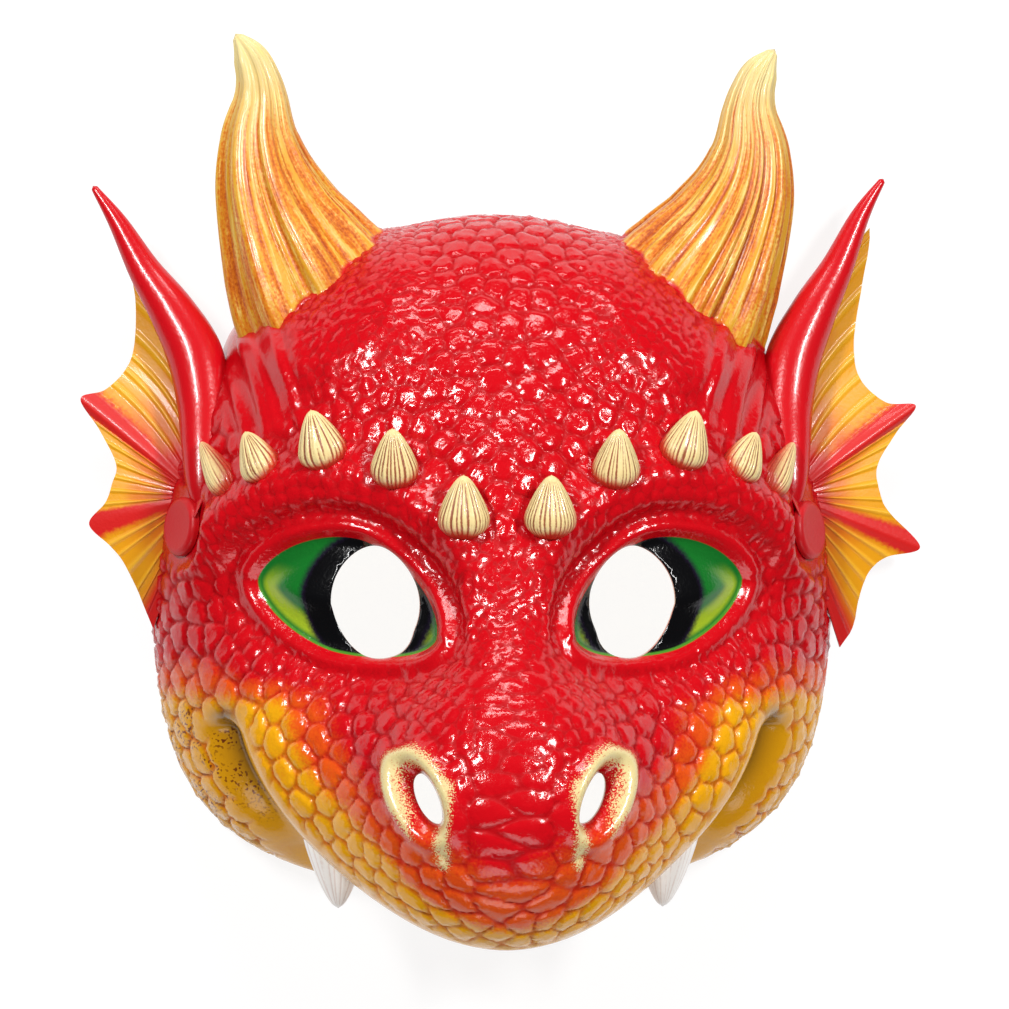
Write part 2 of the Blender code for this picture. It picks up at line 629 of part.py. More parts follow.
def tube(line, wide, deep, sides, flutes=0, flute_depth=0.0):
    """Closed tapered tube through the points of a line, with rings wide across the mask plane and deep in Z."""
    line = np.asarray(line, float)
    run = np.gradient(line, axis=0)
    run /= np.linalg.norm(run, axis=1)[:, None]
    across = np.cross(run, (0.0, 0.0, 1.0))
    across /= np.linalg.norm(across, axis=1)[:, None]
    rise = np.cross(across, run)
    a = np.arange(sides) / sides * 2 * math.pi
    swell = 1.0 + flute_depth * np.cos(flutes * a)
    rings = []
    for i in range(len(line)):
        ring = line[i] + (wide[i] * np.cos(a) * swell)[:, None] * across[i] \
            + (deep[i] * np.sin(a) * swell)[:, None] * rise[i]
        rings.append(ring)
    points = np.concatenate(rings + [line[:1], line[-1:] + run[-1:] * wide[-1] * 0.8])
    first, last = len(points) - 2, len(points) - 1
    faces = []
    for i in range(len(line) - 1):
        for j in range(sides):
            k = (j + 1) % sides
            faces.append((i * sides + j, i * sides + k, (i + 1) * sides + k, (i + 1) * sides + j))
    top = (len(line) - 1) * sides
    for j in range(sides):
        k = (j + 1) % sides
        faces.append((first, k, j))
        faces.append((last, top + j, top + k))
    return points, faces


def mirror(points, side):
    return points * (-side, 1.0, 1.0)


def horn(side, rings, sides):
    line = smooth_row(horn_line(side), rings)
    width = smooth_row(HORN_WIDTH, rings)[:, 0]
    z = HORN_ROOT_Z + (HORN_TIP_Z - HORN_ROOT_Z) * step(0.0, 1.0, np.linspace(0.0, 1.0, rings))
    line = np.concatenate([line, z[:, None] * FIT[2]], 1)
    return tube(line, width / 2, width / 2 * HORN_FLATNESS, sides, HORN_FLUTES, HORN_FLUTE_DEPTH)


def spar(side, rings, sides):
    line = smooth_row(SPAR_LINE, rings)
    z = smooth_row(SPAR_Z, rings)
    if side > 0:
        line = line * (-1.0, 1.0) + step(60.0, 105.0, line[:, 1:]) * (-2.2, 2.6)
    width = smooth_row(SPAR_WIDTH, rings)[:, 0]
    line = np.concatenate([line, z], 1) * FIT
    return tube(line[::-1], width[::-1] / 2, width[::-1] / 2 * 0.85, sides)


def fin(side, across, along):
    """Webbed ear fin: a thin ribbed sheet fanning out from the cheek edge."""
    edge = smooth_row(FIN_EDGE[side], across) * FIT[:2]
    rib = smooth_row(FIN_RIB, across)[:, 0]
    apex = np.array(FIN_APEX) * (-side, 1.0) * FIT[:2]
    share = np.linspace(0.0, 1.0, along)
    tip = np.linalg.norm(edge - apex, axis=1)
    bow = FIN_BOW * step(0.42, 0.0, np.linspace(0.0, 1.0, across))[:, None]
    aside = np.stack([edge[:, 1] - apex[1], apex[0] - edge[:, 0]], 1) / tip[:, None] * -side
    root_z = FIN_ROOT_Z * FIT[2]
    tip_z = root_z - 4.0 - (root_z - 4.0 - FIN_TIP_Z) * step(18.0, 38.0, tip)
    root = np.zeros(across)
    for s in np.linspace(0.0, 0.95, 160):
        flat = apex + (edge - apex) * s + aside * bow * 4.0 * s * (1.0 - s)
        spot = np.concatenate([flat, (root_z + (tip_z - root_z) * s ** 1.2)[:, None]], 1)
        root = np.where(masses(spot) < -0.55 * WALL, s, root)
    layers = []
    for face in (1, -1):
        for i, part in enumerate(share):
            s = root + (1.0 - root) * part
            xy = apex + (edge - apex) * s[:, None] + aside * bow * 4.0 * (s * (1.0 - s))[:, None]
            z = root_z + (tip_z - root_z) * s ** 1.2
            thick = FIN_THICK * (1.0 - 0.35 * s)
            lift = rib * 1.5 * (0.25 + 0.75 * s) * (1.0 - 0.35 * s)
            level = z + face * thick / 2 + lift * (1.0 if face > 0 else 0.8)
            layers.append(np.concatenate([xy, level[:, None]], 1))
    points = np.concatenate(layers)
    faces = []
    n = across

    def at(face, i, j):
        return (face * along + i) * n + j

    for i in range(along - 1):
        for j in range(n - 1):
            faces.append((at(0, i, j), at(0, i + 1, j), at(0, i + 1, j + 1)))
            faces.append((at(0, i, j), at(0, i + 1, j + 1), at(0, i, j + 1)))
            faces.append((at(1, i, j), at(1, i + 1, j + 1), at(1, i + 1, j)))
            faces.append((at(1, i, j), at(1, i, j + 1), at(1, i + 1, j + 1)))
    for i in range(along - 1):
        for j in (0, n - 1):
            a, b, c, d = at(0, i, j), at(0, i + 1, j), at(1, i + 1, j), at(1, i, j)
            faces += [(a, b, c), (a, c, d)]
    for j in range(n - 1):
        for i in (0, along - 1):
            a, b, c, d = at(0, i, j), at(0, i, j + 1), at(1, i, j + 1), at(1, i, j)
            faces += [(a, b, c), (a, c, d)]
    return points, faces


def skin_height(xy):
    """Height of the soft form over a place of the plane."""
    z = np.linspace(20.0, 115.0, 960) * FIT[2]
    column = np.stack([np.full(960, xy[0]), np.full(960, xy[1]), z], 1)
    value = masses(column) - hollows(column)
    return float(z[np.nonzero(value < 0.0)[0].max()])


def claw(root, tip, width, depth, sides, rings=5):
    """Curved pointed claw from a sunk root to its tip."""
    root, tip = np.array(root), np.array(tip)
    t = np.linspace(0.0, 0.93, rings)
    line = root + (tip - root) * t[:, None]
    taper = np.sqrt(np.maximum(1.0 - t ** 1.7, 0.0)) * (1.0 - 0.30 * t)
    return tube(line, width / 2 * taper, depth / 2 * taper, sides)


def spike(side, row, sides):
    x, y = np.array(row[0]) * FIT[:2]
    tx, ty = np.array(row[1]) * FIT[:2]
    width, rise = row[2:]
    base_z = skin_height((x, y))
    normal = slope(np.array([[x, y, base_z]]), masses)[0]
    tip_z = skin_height((tx, ty)) + rise
    root = np.array([x, y, base_z]) - normal * 2.2
    return claw(mirror(root, side), mirror(np.array([tx, ty, tip_z]), side), width, width * 0.9, sides)


def fang(side, sides):
    root = np.array([FANG_ROOT[0] * -side, FANG_ROOT[1], FANG_Z]) * FIT
    tip = np.array([FANG_TIP[0] * -side, FANG_TIP[1], FANG_Z - 1.5]) * FIT
    return claw(root, tip, FANG_WIDTH, FANG_WIDTH * 0.85, sides)


def lathe(profile, centre, axis, sides):
    """Closed round body from (radius, height) pairs about an axis; the ends lie on it."""
    axis = np.array(axis)
    side = np.cross(axis, (0.0, 1.0, 0.0))
    side /= np.linalg.norm(side)
    up = np.cross(axis, side)
    a = np.arange(sides) / sides * 2 * math.pi
    ring = np.cos(a)[:, None] * side + np.sin(a)[:, None] * up
    points = [np.array([centre + axis * profile[0][1]])]
    for radius, height in profile[1:-1]:
        points.append(centre + axis * height + ring * radius)
    points.append(np.array([centre + axis * profile[-1][1]]))
    points = np.concatenate(points)
    count = len(profile) - 2
    faces = []
    for j in range(sides):
        k = (j + 1) % sides
        faces.append((0, 1 + k, 1 + j))
        faces.append((len(points) - 1, 1 + (count - 1) * sides + j, 1 + (count - 1) * sides + k))
        for i in range(count - 1):
            faces.append((1 + i * sides + j, 1 + i * sides + k, 1 + (i + 1) * sides + k, 1 + (i + 1) * sides + j))
    return points, faces


def combine(target, other, kind):
    """Cut or join another body into the target and remove it."""
    change = target.modifiers.new(kind.lower(), "BOOLEAN")
    change.operation = kind
    change.solver = "EXACT"
    change.object = other
    bpy.context.view_layer.update()
    graph = bpy.context.evaluated_depsgraph_get()
    result = bpy.data.meshes.new_from_object(target.evaluated_get(graph))
    target.modifiers.clear()
    old = target.data
    target.data = result
    bpy.data.meshes.remove(old)
    bpy.data.objects.remove(other)


def finish(made, colour, roughness, limit):
    work = bmesh.new()
    work.from_mesh(made.data)
    bmesh.ops.remove_doubles(work, verts=work.verts, dist=1e-6)
    bmesh.ops.triangulate(work, faces=work.faces)
    work.to_mesh(made.data)
    work.free()
    made.data.shade_smooth()
    made.data.set_sharp_from_angle(angle=math.radians(limit))
    paint = bpy.data.materials.new(made.name + "_finish")
    paint.use_nodes = True
    shader = paint.node_tree.nodes["Principled BSDF"]
    shader.inputs["Base Color"].default_value = (*colour, 1.0)
    shader.inputs["Roughness"].default_value = roughness
    made.data.materials.clear()
    made.data.materials.append(paint)


for thing in list(bpy.data.objects):
    bpy.data.objects.remove(thing)

mask = closed("mask_shell", *outer_body(FINE_MESH, COARSE_MESH))
parts = []
for which in (-1, 1):
    parts.append(horn(which, 10, 18))
    parts.append(spar(which, 9, 8))
    parts.append(fin(which, 29, 4))
    parts.append(fang(which, 8))
    for entry in SPIKES:
        parts.append(spike(which, entry, 9))
for number, (spots, loops) in enumerate(parts):
    combine(mask, closed("joined_%d" % number, spots, loops), "UNION")
combine(mask, closed("cavity", *cavity_body(LINING_MESH)), "DIFFERENCE")
for which in (-1, 1):
    for centre, half, tilt, number in ((EYE_HOLE_PLACE, EYE_HOLE_HALF, 0.0, 28),
                                       (NOSTRIL_PLACE, NOSTRIL_HOLE_HALF, NOSTRIL_TILT, 16)):
        combine(mask, closed("hole", *prism(oval(centre, half, tilt, number, which), 25.0, 120.0)), "DIFFERENCE")
for which, (spot, way) in SEATS.items():
    outer_face = -SEAT_DROP
    inner_face = -SEAT_DROP - WALL
    head_hole = RIVET_HEAD / 2 + SEAT_MARGIN
    cap_hole = RIVET_CAP / 2 + SEAT_MARGIN
    bore = RIVET_BORE / 2
    cut = [(0, -SEAT_REACH), (head_hole, -SEAT_REACH), (head_hole, inner_face), (bore, inner_face),
           (bore, outer_face), (cap_hole, outer_face), (cap_hole, SEAT_REACH), (0, SEAT_REACH)]
    combine(mask, closed("seat", *lathe(cut, spot, way, RIVET_SIDES)), "DIFFERENCE")
finish(mask, (0.55, 0.02, 0.02), 0.25, 62.0)

for which, (spot, way) in SEATS.items():
    under = -SEAT_DROP + RIVET_GAP
    top = under + RIVET_CAP_HEIGHT
    low = -SEAT_DROP - WALL - RIVET_GAP
    cap = RIVET_CAP / 2
    shape = [(0, low - RIVET_HEAD_HEIGHT), (RIVET_HEAD / 2, low - RIVET_HEAD_HEIGHT), (RIVET_HEAD / 2, low),
             (RIVET_SHANK / 2, low), (RIVET_SHANK / 2, under), (cap, under), (cap, under + 0.8),
             (cap - 0.7, top - 0.3), (cap - 2.2, top), (0, top)]
    name = "rivet_left" if which < 0 else "rivet_right"
    finish(closed(name, *lathe(shape, spot, way, RIVET_SIDES)), (0.5, 0.02, 0.03), 0.4, 35.0)

spots = np.concatenate([[tuple(v.co) for v in o.data.vertices] for o in bpy.data.objects])
low, high = spots.min(0), spots.max(0)
shift = (-(low[0] + high[0]) / 2, -(low[1] + high[1]) / 2, -low[2])
for thing in bpy.data.objects:
    for vertex in thing.data.vertices:
        vertex.co = [vertex.co[i] + shift[i] for i in range(3)]
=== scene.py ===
"""Looks of the dragon half mask: moulded skin, horns, ear fins, spikes, fangs and rivets, all painted."""
import math

import bmesh
import bpy
import numpy as np
from mathutils import Matrix, Vector
from mathutils.geometry import delaunay_2d_cdt
from mathutils.kdtree import KDTree


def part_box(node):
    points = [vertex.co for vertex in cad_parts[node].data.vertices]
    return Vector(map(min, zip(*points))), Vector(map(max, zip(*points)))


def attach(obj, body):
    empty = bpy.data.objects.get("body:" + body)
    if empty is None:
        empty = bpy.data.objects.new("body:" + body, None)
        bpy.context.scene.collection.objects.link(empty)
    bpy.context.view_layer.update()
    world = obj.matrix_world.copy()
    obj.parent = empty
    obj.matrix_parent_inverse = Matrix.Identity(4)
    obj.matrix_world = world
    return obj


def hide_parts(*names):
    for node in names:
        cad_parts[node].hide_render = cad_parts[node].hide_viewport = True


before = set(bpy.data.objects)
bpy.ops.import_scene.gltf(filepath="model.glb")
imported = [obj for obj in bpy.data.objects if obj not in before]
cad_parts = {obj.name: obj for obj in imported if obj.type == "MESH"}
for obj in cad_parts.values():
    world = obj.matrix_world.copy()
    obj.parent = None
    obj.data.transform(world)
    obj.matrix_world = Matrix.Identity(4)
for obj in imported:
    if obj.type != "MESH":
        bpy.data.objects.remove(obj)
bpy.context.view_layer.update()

MM = 0.001

# Sizes in millimetres. X runs across the face, Y from chin to horns, Z out of the face.
WALL = 3.0
LIP_EXTRA_WALL = 2.2
HEAD_HALF_WIDTH = 88.6
HEAD_TOP = 94.0
HEAD_LOW = 81.5
HEAD_DEPTH = 67.0
HEAD_Y = 5.0
RAY_Y = -20.0
RAY_Z = 34.0
ARCH_HEIGHT = 9.0
ARCH_HALF_ANGLE = 0.42
LIP_HALF_WIDTH = 66.0
LIP_DROP = 57.0
LIP_Y = -30.0
GROOVE_DEPTH = 5.5
EYE_PLACE = (41.2, -1.0)
EYE_TILT = math.radians(16.0)
EYE_HALF_LENGTH = 22.6
EYE_RISE = 17.0
EYE_FALL = 10.8
EYE_FULLNESS = 1.72
EYE_HOLE_PLACE = (33.0, 0.4)
EYE_HOLE_HALF = (10.0, 13.4)
PUPIL_PLACE = (35.3, 0.8)
PUPIL_HALF = (14.3, 15.5)
NOSTRIL_PLACE = (21.6, -46.5)
NOSTRIL_TILT = math.radians(-22.0)
NOSTRIL_PIT_HALF = (3.8, 8.6)
NOSTRIL_HOLE_HALF = (2.7, 7.0)
BROW_X = (0.0, 8.0, 16.0, 26.0, 36.0, 46.0, 58.0, 68.0, 78.0)
BROW_Y = (4.0, 12.0, 19.5, 26.0, 29.5, 30.0, 26.5, 20.5, 12.0)
BROW_HEIGHT = 5.0
# drawn masses of the head: centre, half sizes and fullness
MUZZLE = ((0.0, -47.0, 46.0), (34.0, 42.0, 51.0), 2.3)
WEDGE = ((0.0, -50.0, 18.0), (58.0, 47.0, 78.0), 1.75)
CHEEK = ((38.0, -34.0, 24.0), (32.0, 30.0, 32.0), 2.2)
# the nose bridge is a tapered rod: both ends and their radii
BRIDGE = ((0.0, 30.0, 54.0), (0.0, -30.0, 70.0), 13.0, 17.0)
# middle of the folds at the temple
TEMPLE = (62.0, 57.0)
SEAT_HALF = 9.0
RIVET_PLACE = {-1: (-79.6, 18.3), 1: (79.0, 17.4)}
RIVET_CAP = 15.0
RIVET_CAP_HEIGHT = 2.2
RIVET_SHANK = 4.0
RIVET_HEAD = 11.0
RIVET_HEAD_HEIGHT = 1.6
RIVET_GAP = 0.3
# each rivet lies in a round flat seat sunk into both faces of the wall
SEAT_DROP = 0.6
# centre line and width of the left horn, root first, then the tip
HORN_LINE = ((-41.5, 69.0), (-47.1, 79.7), (-51.5, 88.3), (-55.8, 97.9), (-59.0, 107.8), (-60.4, 117.5),
             (-60.1, 127.1), (-61.0, 133.1), (-63.0, 138.1), (-65.8, 142.4))
HORN_WIDTH = (47.0, 44.4, 39.0, 31.6, 25.4, 19.4, 13.6, 10.7, 8.3, 3.0)
HORN_FLATNESS = 0.80
HORN_ROOT_Z = 18.7
HORN_TIP_Z = 25.0
HORN_FLUTES = 9
HORN_FLUTE_DEPTH = 0.055
RIGHT_HORN_SHIFT = (4.6, -3.2)
# centre line and width of the left ear spar, tip first
SPAR_LINE = ((-102.6, 105.0), (-96.5, 96.0), (-89.8, 84.0), (-82.5, 73.0), (-76.8, 62.0), (-74.6, 50.0),
             (-74.4, 39.0), (-74.4, 29.0), (-73.6, 20.0))
SPAR_WIDTH = (1.8, 5.0, 8.4, 12.0, 14.4, 13.6, 11.6, 8.8, 4.0)
SPAR_Z = (12.0, 13.0, 14.5, 16.5, 18.5, 21.5, 25.5, 29.0, 31.0)
# edge of each fin as (x, y) from the spar down to the cheek, tips at the ribs
FIN_EDGE = {-1: ((-95.5, 91.5), (-94.0, 85.3), (-92.2, 76.3), (-92.5, 64.8), (-94.8, 58.4), (-100.0, 53.3),
                 (-106.2, 51.0), (-101.3, 43.0), (-97.0, 34.3), (-98.0, 29.2), (-99.7, 24.4), (-103.9, 18.9),
                 (-98.5, 13.3), (-95.3, 9.4), (-91.8, 2.5), (-89.9, -2.3), (-87.6, -8.0)),
            1: ((97.4, 95.5), (97.2, 90.5), (95.2, 79.3), (93.3, 66.0), (94.8, 56.6), (101.5, 50.4),
                (109.3, 49.5), (104.2, 42.5), (98.9, 33.9), (99.5, 26.9), (101.9, 22.0), (110.4, 12.9),
                (101.5, 10.3), (97.0, 6.6), (94.6, 0.3), (93.0, -7.7), (89.6, -13.0))}
FIN_RIB = (0.30, 0.0, -0.25, 0.0, 0.25, 0.55, 1.0, 0.35, -0.3, 0.1, 0.35, 1.0, 0.3, -0.1, 0.15, 0.3, 0.7)
FIN_APEX = (-76.0, 26.0)
FIN_BOW = 9.0
FIN_THICK = 2.6
FIN_TIP_Z = 9.6
FIN_ROOT_Z = 19.0
# left spikes: base centre, tip, base width, tip height over the skin
SPIKES = (((-69.4, 28.6), (-75.0, 39.6), 9.4, 5.0),
          ((-59.8, 32.0), (-63.8, 41.9), 12.2, 7.0),
          ((-44.6, 35.4), (-47.6, 47.0), 14.0, 8.5),
          ((-27.4, 30.8), (-27.8, 42.3), 13.6, 8.5),
          ((-11.0, 18.8), (-10.7, 30.9), 14.6, 8.0))
FANG_ROOT = (-42.0, -59.0)
FANG_TIP = (-40.6, -76.6)
FANG_WIDTH = 14.4
FANG_Z = 45.0

# how finely the shown pieces are made: rings along each and sides round it
HORN_MESH = (170, 240)
SPAR_MESH = (110, 60)
SPIKE_MESH = (70, 130)
FANG_MESH = (60, 96)
FIN_ACROSS = 420
FIN_ALONG = 70
CAP_SIDES = 72


def step(low, high, value):
    t = np.clip((value - low) / (high - low), 0.0, 1.0)
    return t * t * (3.0 - 2.0 * t)


def bump(distance, width):
    return np.exp(-((distance / width) ** 2))


def join_soft(a, b, k):
    """The union of two fields with a rounded inside corner."""
    h = np.clip(0.5 + 0.5 * (b - a) / k, 0.0, 1.0)
    return b + (a - b) * h - k * h * (1.0 - h)


def meet_soft(a, b, k):
    """The common part of two fields with a rounded edge."""
    return -join_soft(-a, -b, k)


def loop_distance(u, v, a, b, n):
    """How far a point is outside a super-ellipse in the plane."""
    au = np.abs(u) / a
    av = np.abs(v) / b
    f = np.maximum((au ** n + av ** n) ** (1.0 / n), 1e-3)
    slope = np.hypot((au / f) ** (n - 1.0) / a, (av / f) ** (n - 1.0) / b)
    return (f - 1.0) / np.maximum(slope, 1e-6)


def turns(count):
    """Angles evenly round a circle."""
    return np.arange(count) / count * 2 * math.pi


def ball(p, centre, radii, n):
    """How far a point is outside a rounded box with the exponent n."""
    q = np.abs(p - np.array(centre)) / np.array(radii)
    g = np.maximum((q ** n).sum(1) ** (1.0 / n), 1e-4)
    slope = (q / g[:, None]) ** (n - 1.0) / np.array(radii)
    return (g - 1.0) / np.sqrt((slope ** 2).sum(1))


def rod(p, start, end, r0, r1):
    """How far a point is outside a tapered round-ended rod."""
    start = np.array(start)
    d = np.array(end) - start
    t = np.clip((p - start) @ d / d.dot(d), 0.0, 1.0)
    return np.linalg.norm(p - start - t[:, None] * d, axis=1) - (r0 + (r1 - r0) * t)


def exponents(x, y):
    """Fullness of the head outline and of its section for a direction in the plane."""
    low = np.where(y > 0.0, HEAD_TOP, HEAD_LOW)
    qx = np.abs(x) / HEAD_HALF_WIDTH
    qy = np.abs(y) / low
    flat = np.maximum(np.hypot(qx, qy), 1e-4)
    down = np.clip(-y / low / flat, 0.0, 1.0)
    return qx, qy, 2.0 + 2.4 * down * (1.0 - down) ** 0.7 + 0.2 * down, 2.0 + 0.6 * (qy / flat) ** 2


def head(p):
    """How far a point is outside the plain head."""
    dy = p[:, 1] - HEAD_Y
    qx, qy, n, m = exponents(p[:, 0], dy)
    qz = np.abs(p[:, 2]) / HEAD_DEPTH
    r = np.maximum((qx ** n + qy ** n) ** (1.0 / n), 1e-4)
    g = np.maximum((r ** m + qz ** m) ** (1.0 / m), 1e-4)
    side = (r / g) ** (m - 1.0)
    gx = side * (qx / r) ** (n - 1.0) / HEAD_HALF_WIDTH
    gy = side * (qy / r) ** (n - 1.0) / np.where(dy > 0.0, HEAD_TOP, HEAD_LOW)
    gz = (qz / g) ** (m - 1.0) / HEAD_DEPTH
    return (g - 1.0) / np.sqrt(gx ** 2 + gy ** 2 + gz ** 2)


def lip_distance(x, y):
    """How far a point of the plane is outside the line of the upper lip."""
    return loop_distance(x, np.minimum(y - LIP_Y, 0.0), LIP_HALF_WIDTH, LIP_DROP, 1.6)


def masses(p):
    """The head with its muzzle, nose bridge, cheeks and the step at the upper lip."""
    x, y, z = p.T
    q = np.stack([np.abs(x), y, z], 1)
    skull = head(p)
    upper = join_soft(skull, join_soft(ball(q, *MUZZLE), ball(q, *WEDGE), 12.0), 20.0)
    upper = join_soft(upper, rod(q, *BRIDGE), 14.0)
    upper = join_soft(upper, ball(q, *CHEEK), 16.0)
    pad = meet_soft(upper - 1.0, lip_distance(x, y), 7.0)
    under = -0.80 * (y + 88.0) - 0.60 * (z - 72.0)
    pad = meet_soft(pad, under, 6.0)
    low = step(-20.0, -36.0, y)
    return upper * (1.0 - low) + join_soft(pad, skull, 5.0) * low


def turned_frame(x, y, place, tilt):
    """Places along and across a form that lies turned on each half of the face."""
    dx = np.abs(x) - place[0]
    dy = y - place[1]
    return dx * math.cos(tilt) + dy * math.sin(tilt), -dx * math.sin(tilt) + dy * math.cos(tilt)


def eye_frame(x, y):
    """Place along and across the eye, and the distance outside its outline."""
    u, v = turned_frame(x, y, EYE_PLACE, EYE_TILT)
    above = loop_distance(u, v, EYE_HALF_LENGTH, EYE_RISE, EYE_FULLNESS)
    below = loop_distance(u, v, EYE_HALF_LENGTH, EYE_FALL, EYE_FULLNESS)
    return u, v, np.where(v > 0.0, above, below)


def nostril_frame(x, y):
    u, v = turned_frame(x, y, NOSTRIL_PLACE, NOSTRIL_TILT)
    return u, v, loop_distance(u, v, *NOSTRIL_PIT_HALF, 2.0)


def hollows(p, ease=0.0):
    """The soft sinks that both faces of the wall follow, the inner one more loosely."""
    x, y, z = p.T
    front = step(14.0, 34.0, z)
    eye = eye_frame(x, y)[2]
    rise = -4.5 * bump(np.maximum(eye, 0.0), 9.0) * front
    rise += 3.6 * (1.0 - bump(np.minimum(eye, 0.0), 8.0)) * front
    rise += BROW_HEIGHT * brow(x, y) * front
    corner = np.maximum(0.0, y - LIP_Y + 4.0)
    groove = np.hypot(lip_distance(x, y) - 4.2, corner)
    rise += -GROOVE_DEPTH * bump(groove, 3.2 + ease) * step(34.0, 46.0, np.abs(x)) * step(10.0, 22.0, z)
    pit = nostril_frame(x, y)[2]
    rise += -3.0 * bump(np.maximum(pit + 1.0, 0.0), 4.5) * step(60.0, 72.0, z)
    return rise


def brow(x, y):
    reach = np.abs(x)
    drop = (y - np.interp(reach, BROW_X, BROW_Y)) * 0.9
    fade = step(3.0, 12.0, reach) * step(88.0, 74.0, reach)
    return bump(np.where(drop > 0.0, drop, drop * 0.8), 7.0) * fade


def relief(p):
    """Height of the lids, nostril rims and horn collars over the soft form."""
    x, y, z = p.T
    _, v, eye = eye_frame(x, y)
    rise = np.where(v > 0.0, 2.8, 2.0) * bump(eye - 2.3, 1.9) * step(14.0, 34.0, z)
    _, v, pit = nostril_frame(x, y)
    ring = bump(pit - 1.9, 2.3) * (0.75 + 0.25 * step(-9.0, 6.0, v))
    rise += (4.2 * ring - 1.5 * step(0.0, -2.5, pit)) * step(60.0, 72.0, z)
    for side in (-1, 1):
        root_x, root_y = horn_line(side)[1]
        reach = np.hypot(x - root_x, y - root_y)
        along = (y - root_y) * 0.86 + (x - root_x) * side * 0.5
        rise += 2.6 * bump(np.maximum(reach - 21.0, 0.0), 6.0) * step(14.0, -6.0, along)
    return rise


def horn_line(side):
    """Centre line of a horn in the plane; the right one stands a little lower and wider."""
    line = np.array(HORN_LINE)
    if side > 0:
        lean = step(0.0, 5.0, np.arange(len(line)))[:, None]
        line = line * (-1.0, 1.0) + np.array(RIGHT_HORN_SHIFT) * (0.45 + 0.55 * lean)
    return line


def disc_point(rho, theta):
    """Point of the plain head for a place on the unit disc."""
    c = np.cos(theta)
    s = np.sin(theta)
    qx, qy, n, m = exponents(c, s)
    reach = 1.0 / (qx ** n + qy ** n) ** (1.0 / n)
    from_chin = np.abs((theta + math.pi / 2 + math.pi) % (2 * math.pi) - math.pi)
    arch = ARCH_HEIGHT * step(ARCH_HALF_ANGLE * 1.5, ARCH_HALF_ANGLE * 0.5, from_chin)
    turn = np.arccos((arch / HEAD_DEPTH) ** (m / 2.0)) * rho
    flat = reach * np.sin(turn) ** (2.0 / m)
    height = np.maximum(np.cos(turn), 0.0) ** (2.0 / m)
    return np.stack([flat * c, HEAD_Y + flat * s, HEAD_DEPTH * height], 1)


def cast(start, field, level):
    """Each point goes out along its ray to the place where the field has this level."""
    base = 1.0 - math.exp(-HEAD_DEPTH / RAY_Z)
    foot = np.stack([np.zeros(len(start)), np.full(len(start), RAY_Y),
                     RAY_Z * (1.0 - np.exp(-start[:, 2] / RAY_Z)) / base], 1)
    ray = start - foot
    ray /= np.linalg.norm(ray, axis=1)[:, None]
    near = np.full(len(start), 72.0)
    far = near.copy()
    done = np.zeros(len(start), bool)
    for _ in range(60):
        value = field(start + near[:, None] * ray) - level
        done |= value <= 0.0
        if done.all():
            break
        far = np.where(done, far, near)
        near = np.where(done, near, np.maximum(near - np.maximum(0.6 * value, 0.2), -30.0))
    for _ in range(10):
        middle = 0.5 * (near + far)
        reached = field(start + middle[:, None] * ray) <= level
        near = np.where(reached, middle, near)
        far = np.where(reached, far, middle)
    return start + near[:, None] * ray


def slope(p, field):
    """Outward unit normal of a field."""
    rows = [field(p + d) - field(p - d) for d in np.eye(3) * 0.05]
    g = np.stack(rows, 1)
    return g / np.maximum(np.linalg.norm(g, axis=1)[:, None], 1e-9)


def column(x, y, low, high, count):
    """Points above one another over a place of the plane."""
    return np.stack([np.full(count, x), np.full(count, y), np.linspace(low, high, count)], 1)


def seats():
    """Where each rivet passes the wall: (centre, outward axis) on the plain form."""
    found = {}
    for side, (x, y) in RIVET_PLACE.items():
        points = column(x, y, 5.0, 60.0, 500)
        centre = points[np.argmin(np.abs(masses(points)))]
        found[side] = (centre, slope(centre[None], masses)[0])
    return found


SEATS = seats()


def flatten(p, drop):
    """Press the skin flat under the rivet caps, or the lining under their inner heads."""
    for centre, axis in SEATS.values():
        off = p - centre
        high = off @ axis
        side = np.linalg.norm(off - high[:, None] * axis, axis=1)
        share = step(SEAT_HALF + 5.0, SEAT_HALF, side) * (np.abs(high) < 14.0)
        p = p - (share * (high + drop))[:, None] * axis
    return p


def core(rho, theta):
    """Point of the soft form before any hollow or relief."""
    return cast(disc_point(rho, theta), masses, 0.0)


def skin(rho, theta):
    """Point of the outer face of the shell."""
    p = core(rho, theta)
    p = p + (hollows(p) + relief(p))[:, None] * slope(p, masses)
    return flatten(p, SEAT_DROP)


def lining(rho, theta):
    """Point of the inner face of the shell."""
    p = cast(disc_point(rho, theta), masses, -WALL)
    below = step(-26.0, -40.0, p[:, 1])
    thicker = LIP_EXTRA_WALL * bump(lip_distance(p[:, 0], p[:, 1]) - 1.0, 9.0) * below
    p = p + (hollows(p, 4.0) - thicker)[:, None] * slope(p, masses)
    return flatten(p, SEAT_DROP + WALL)


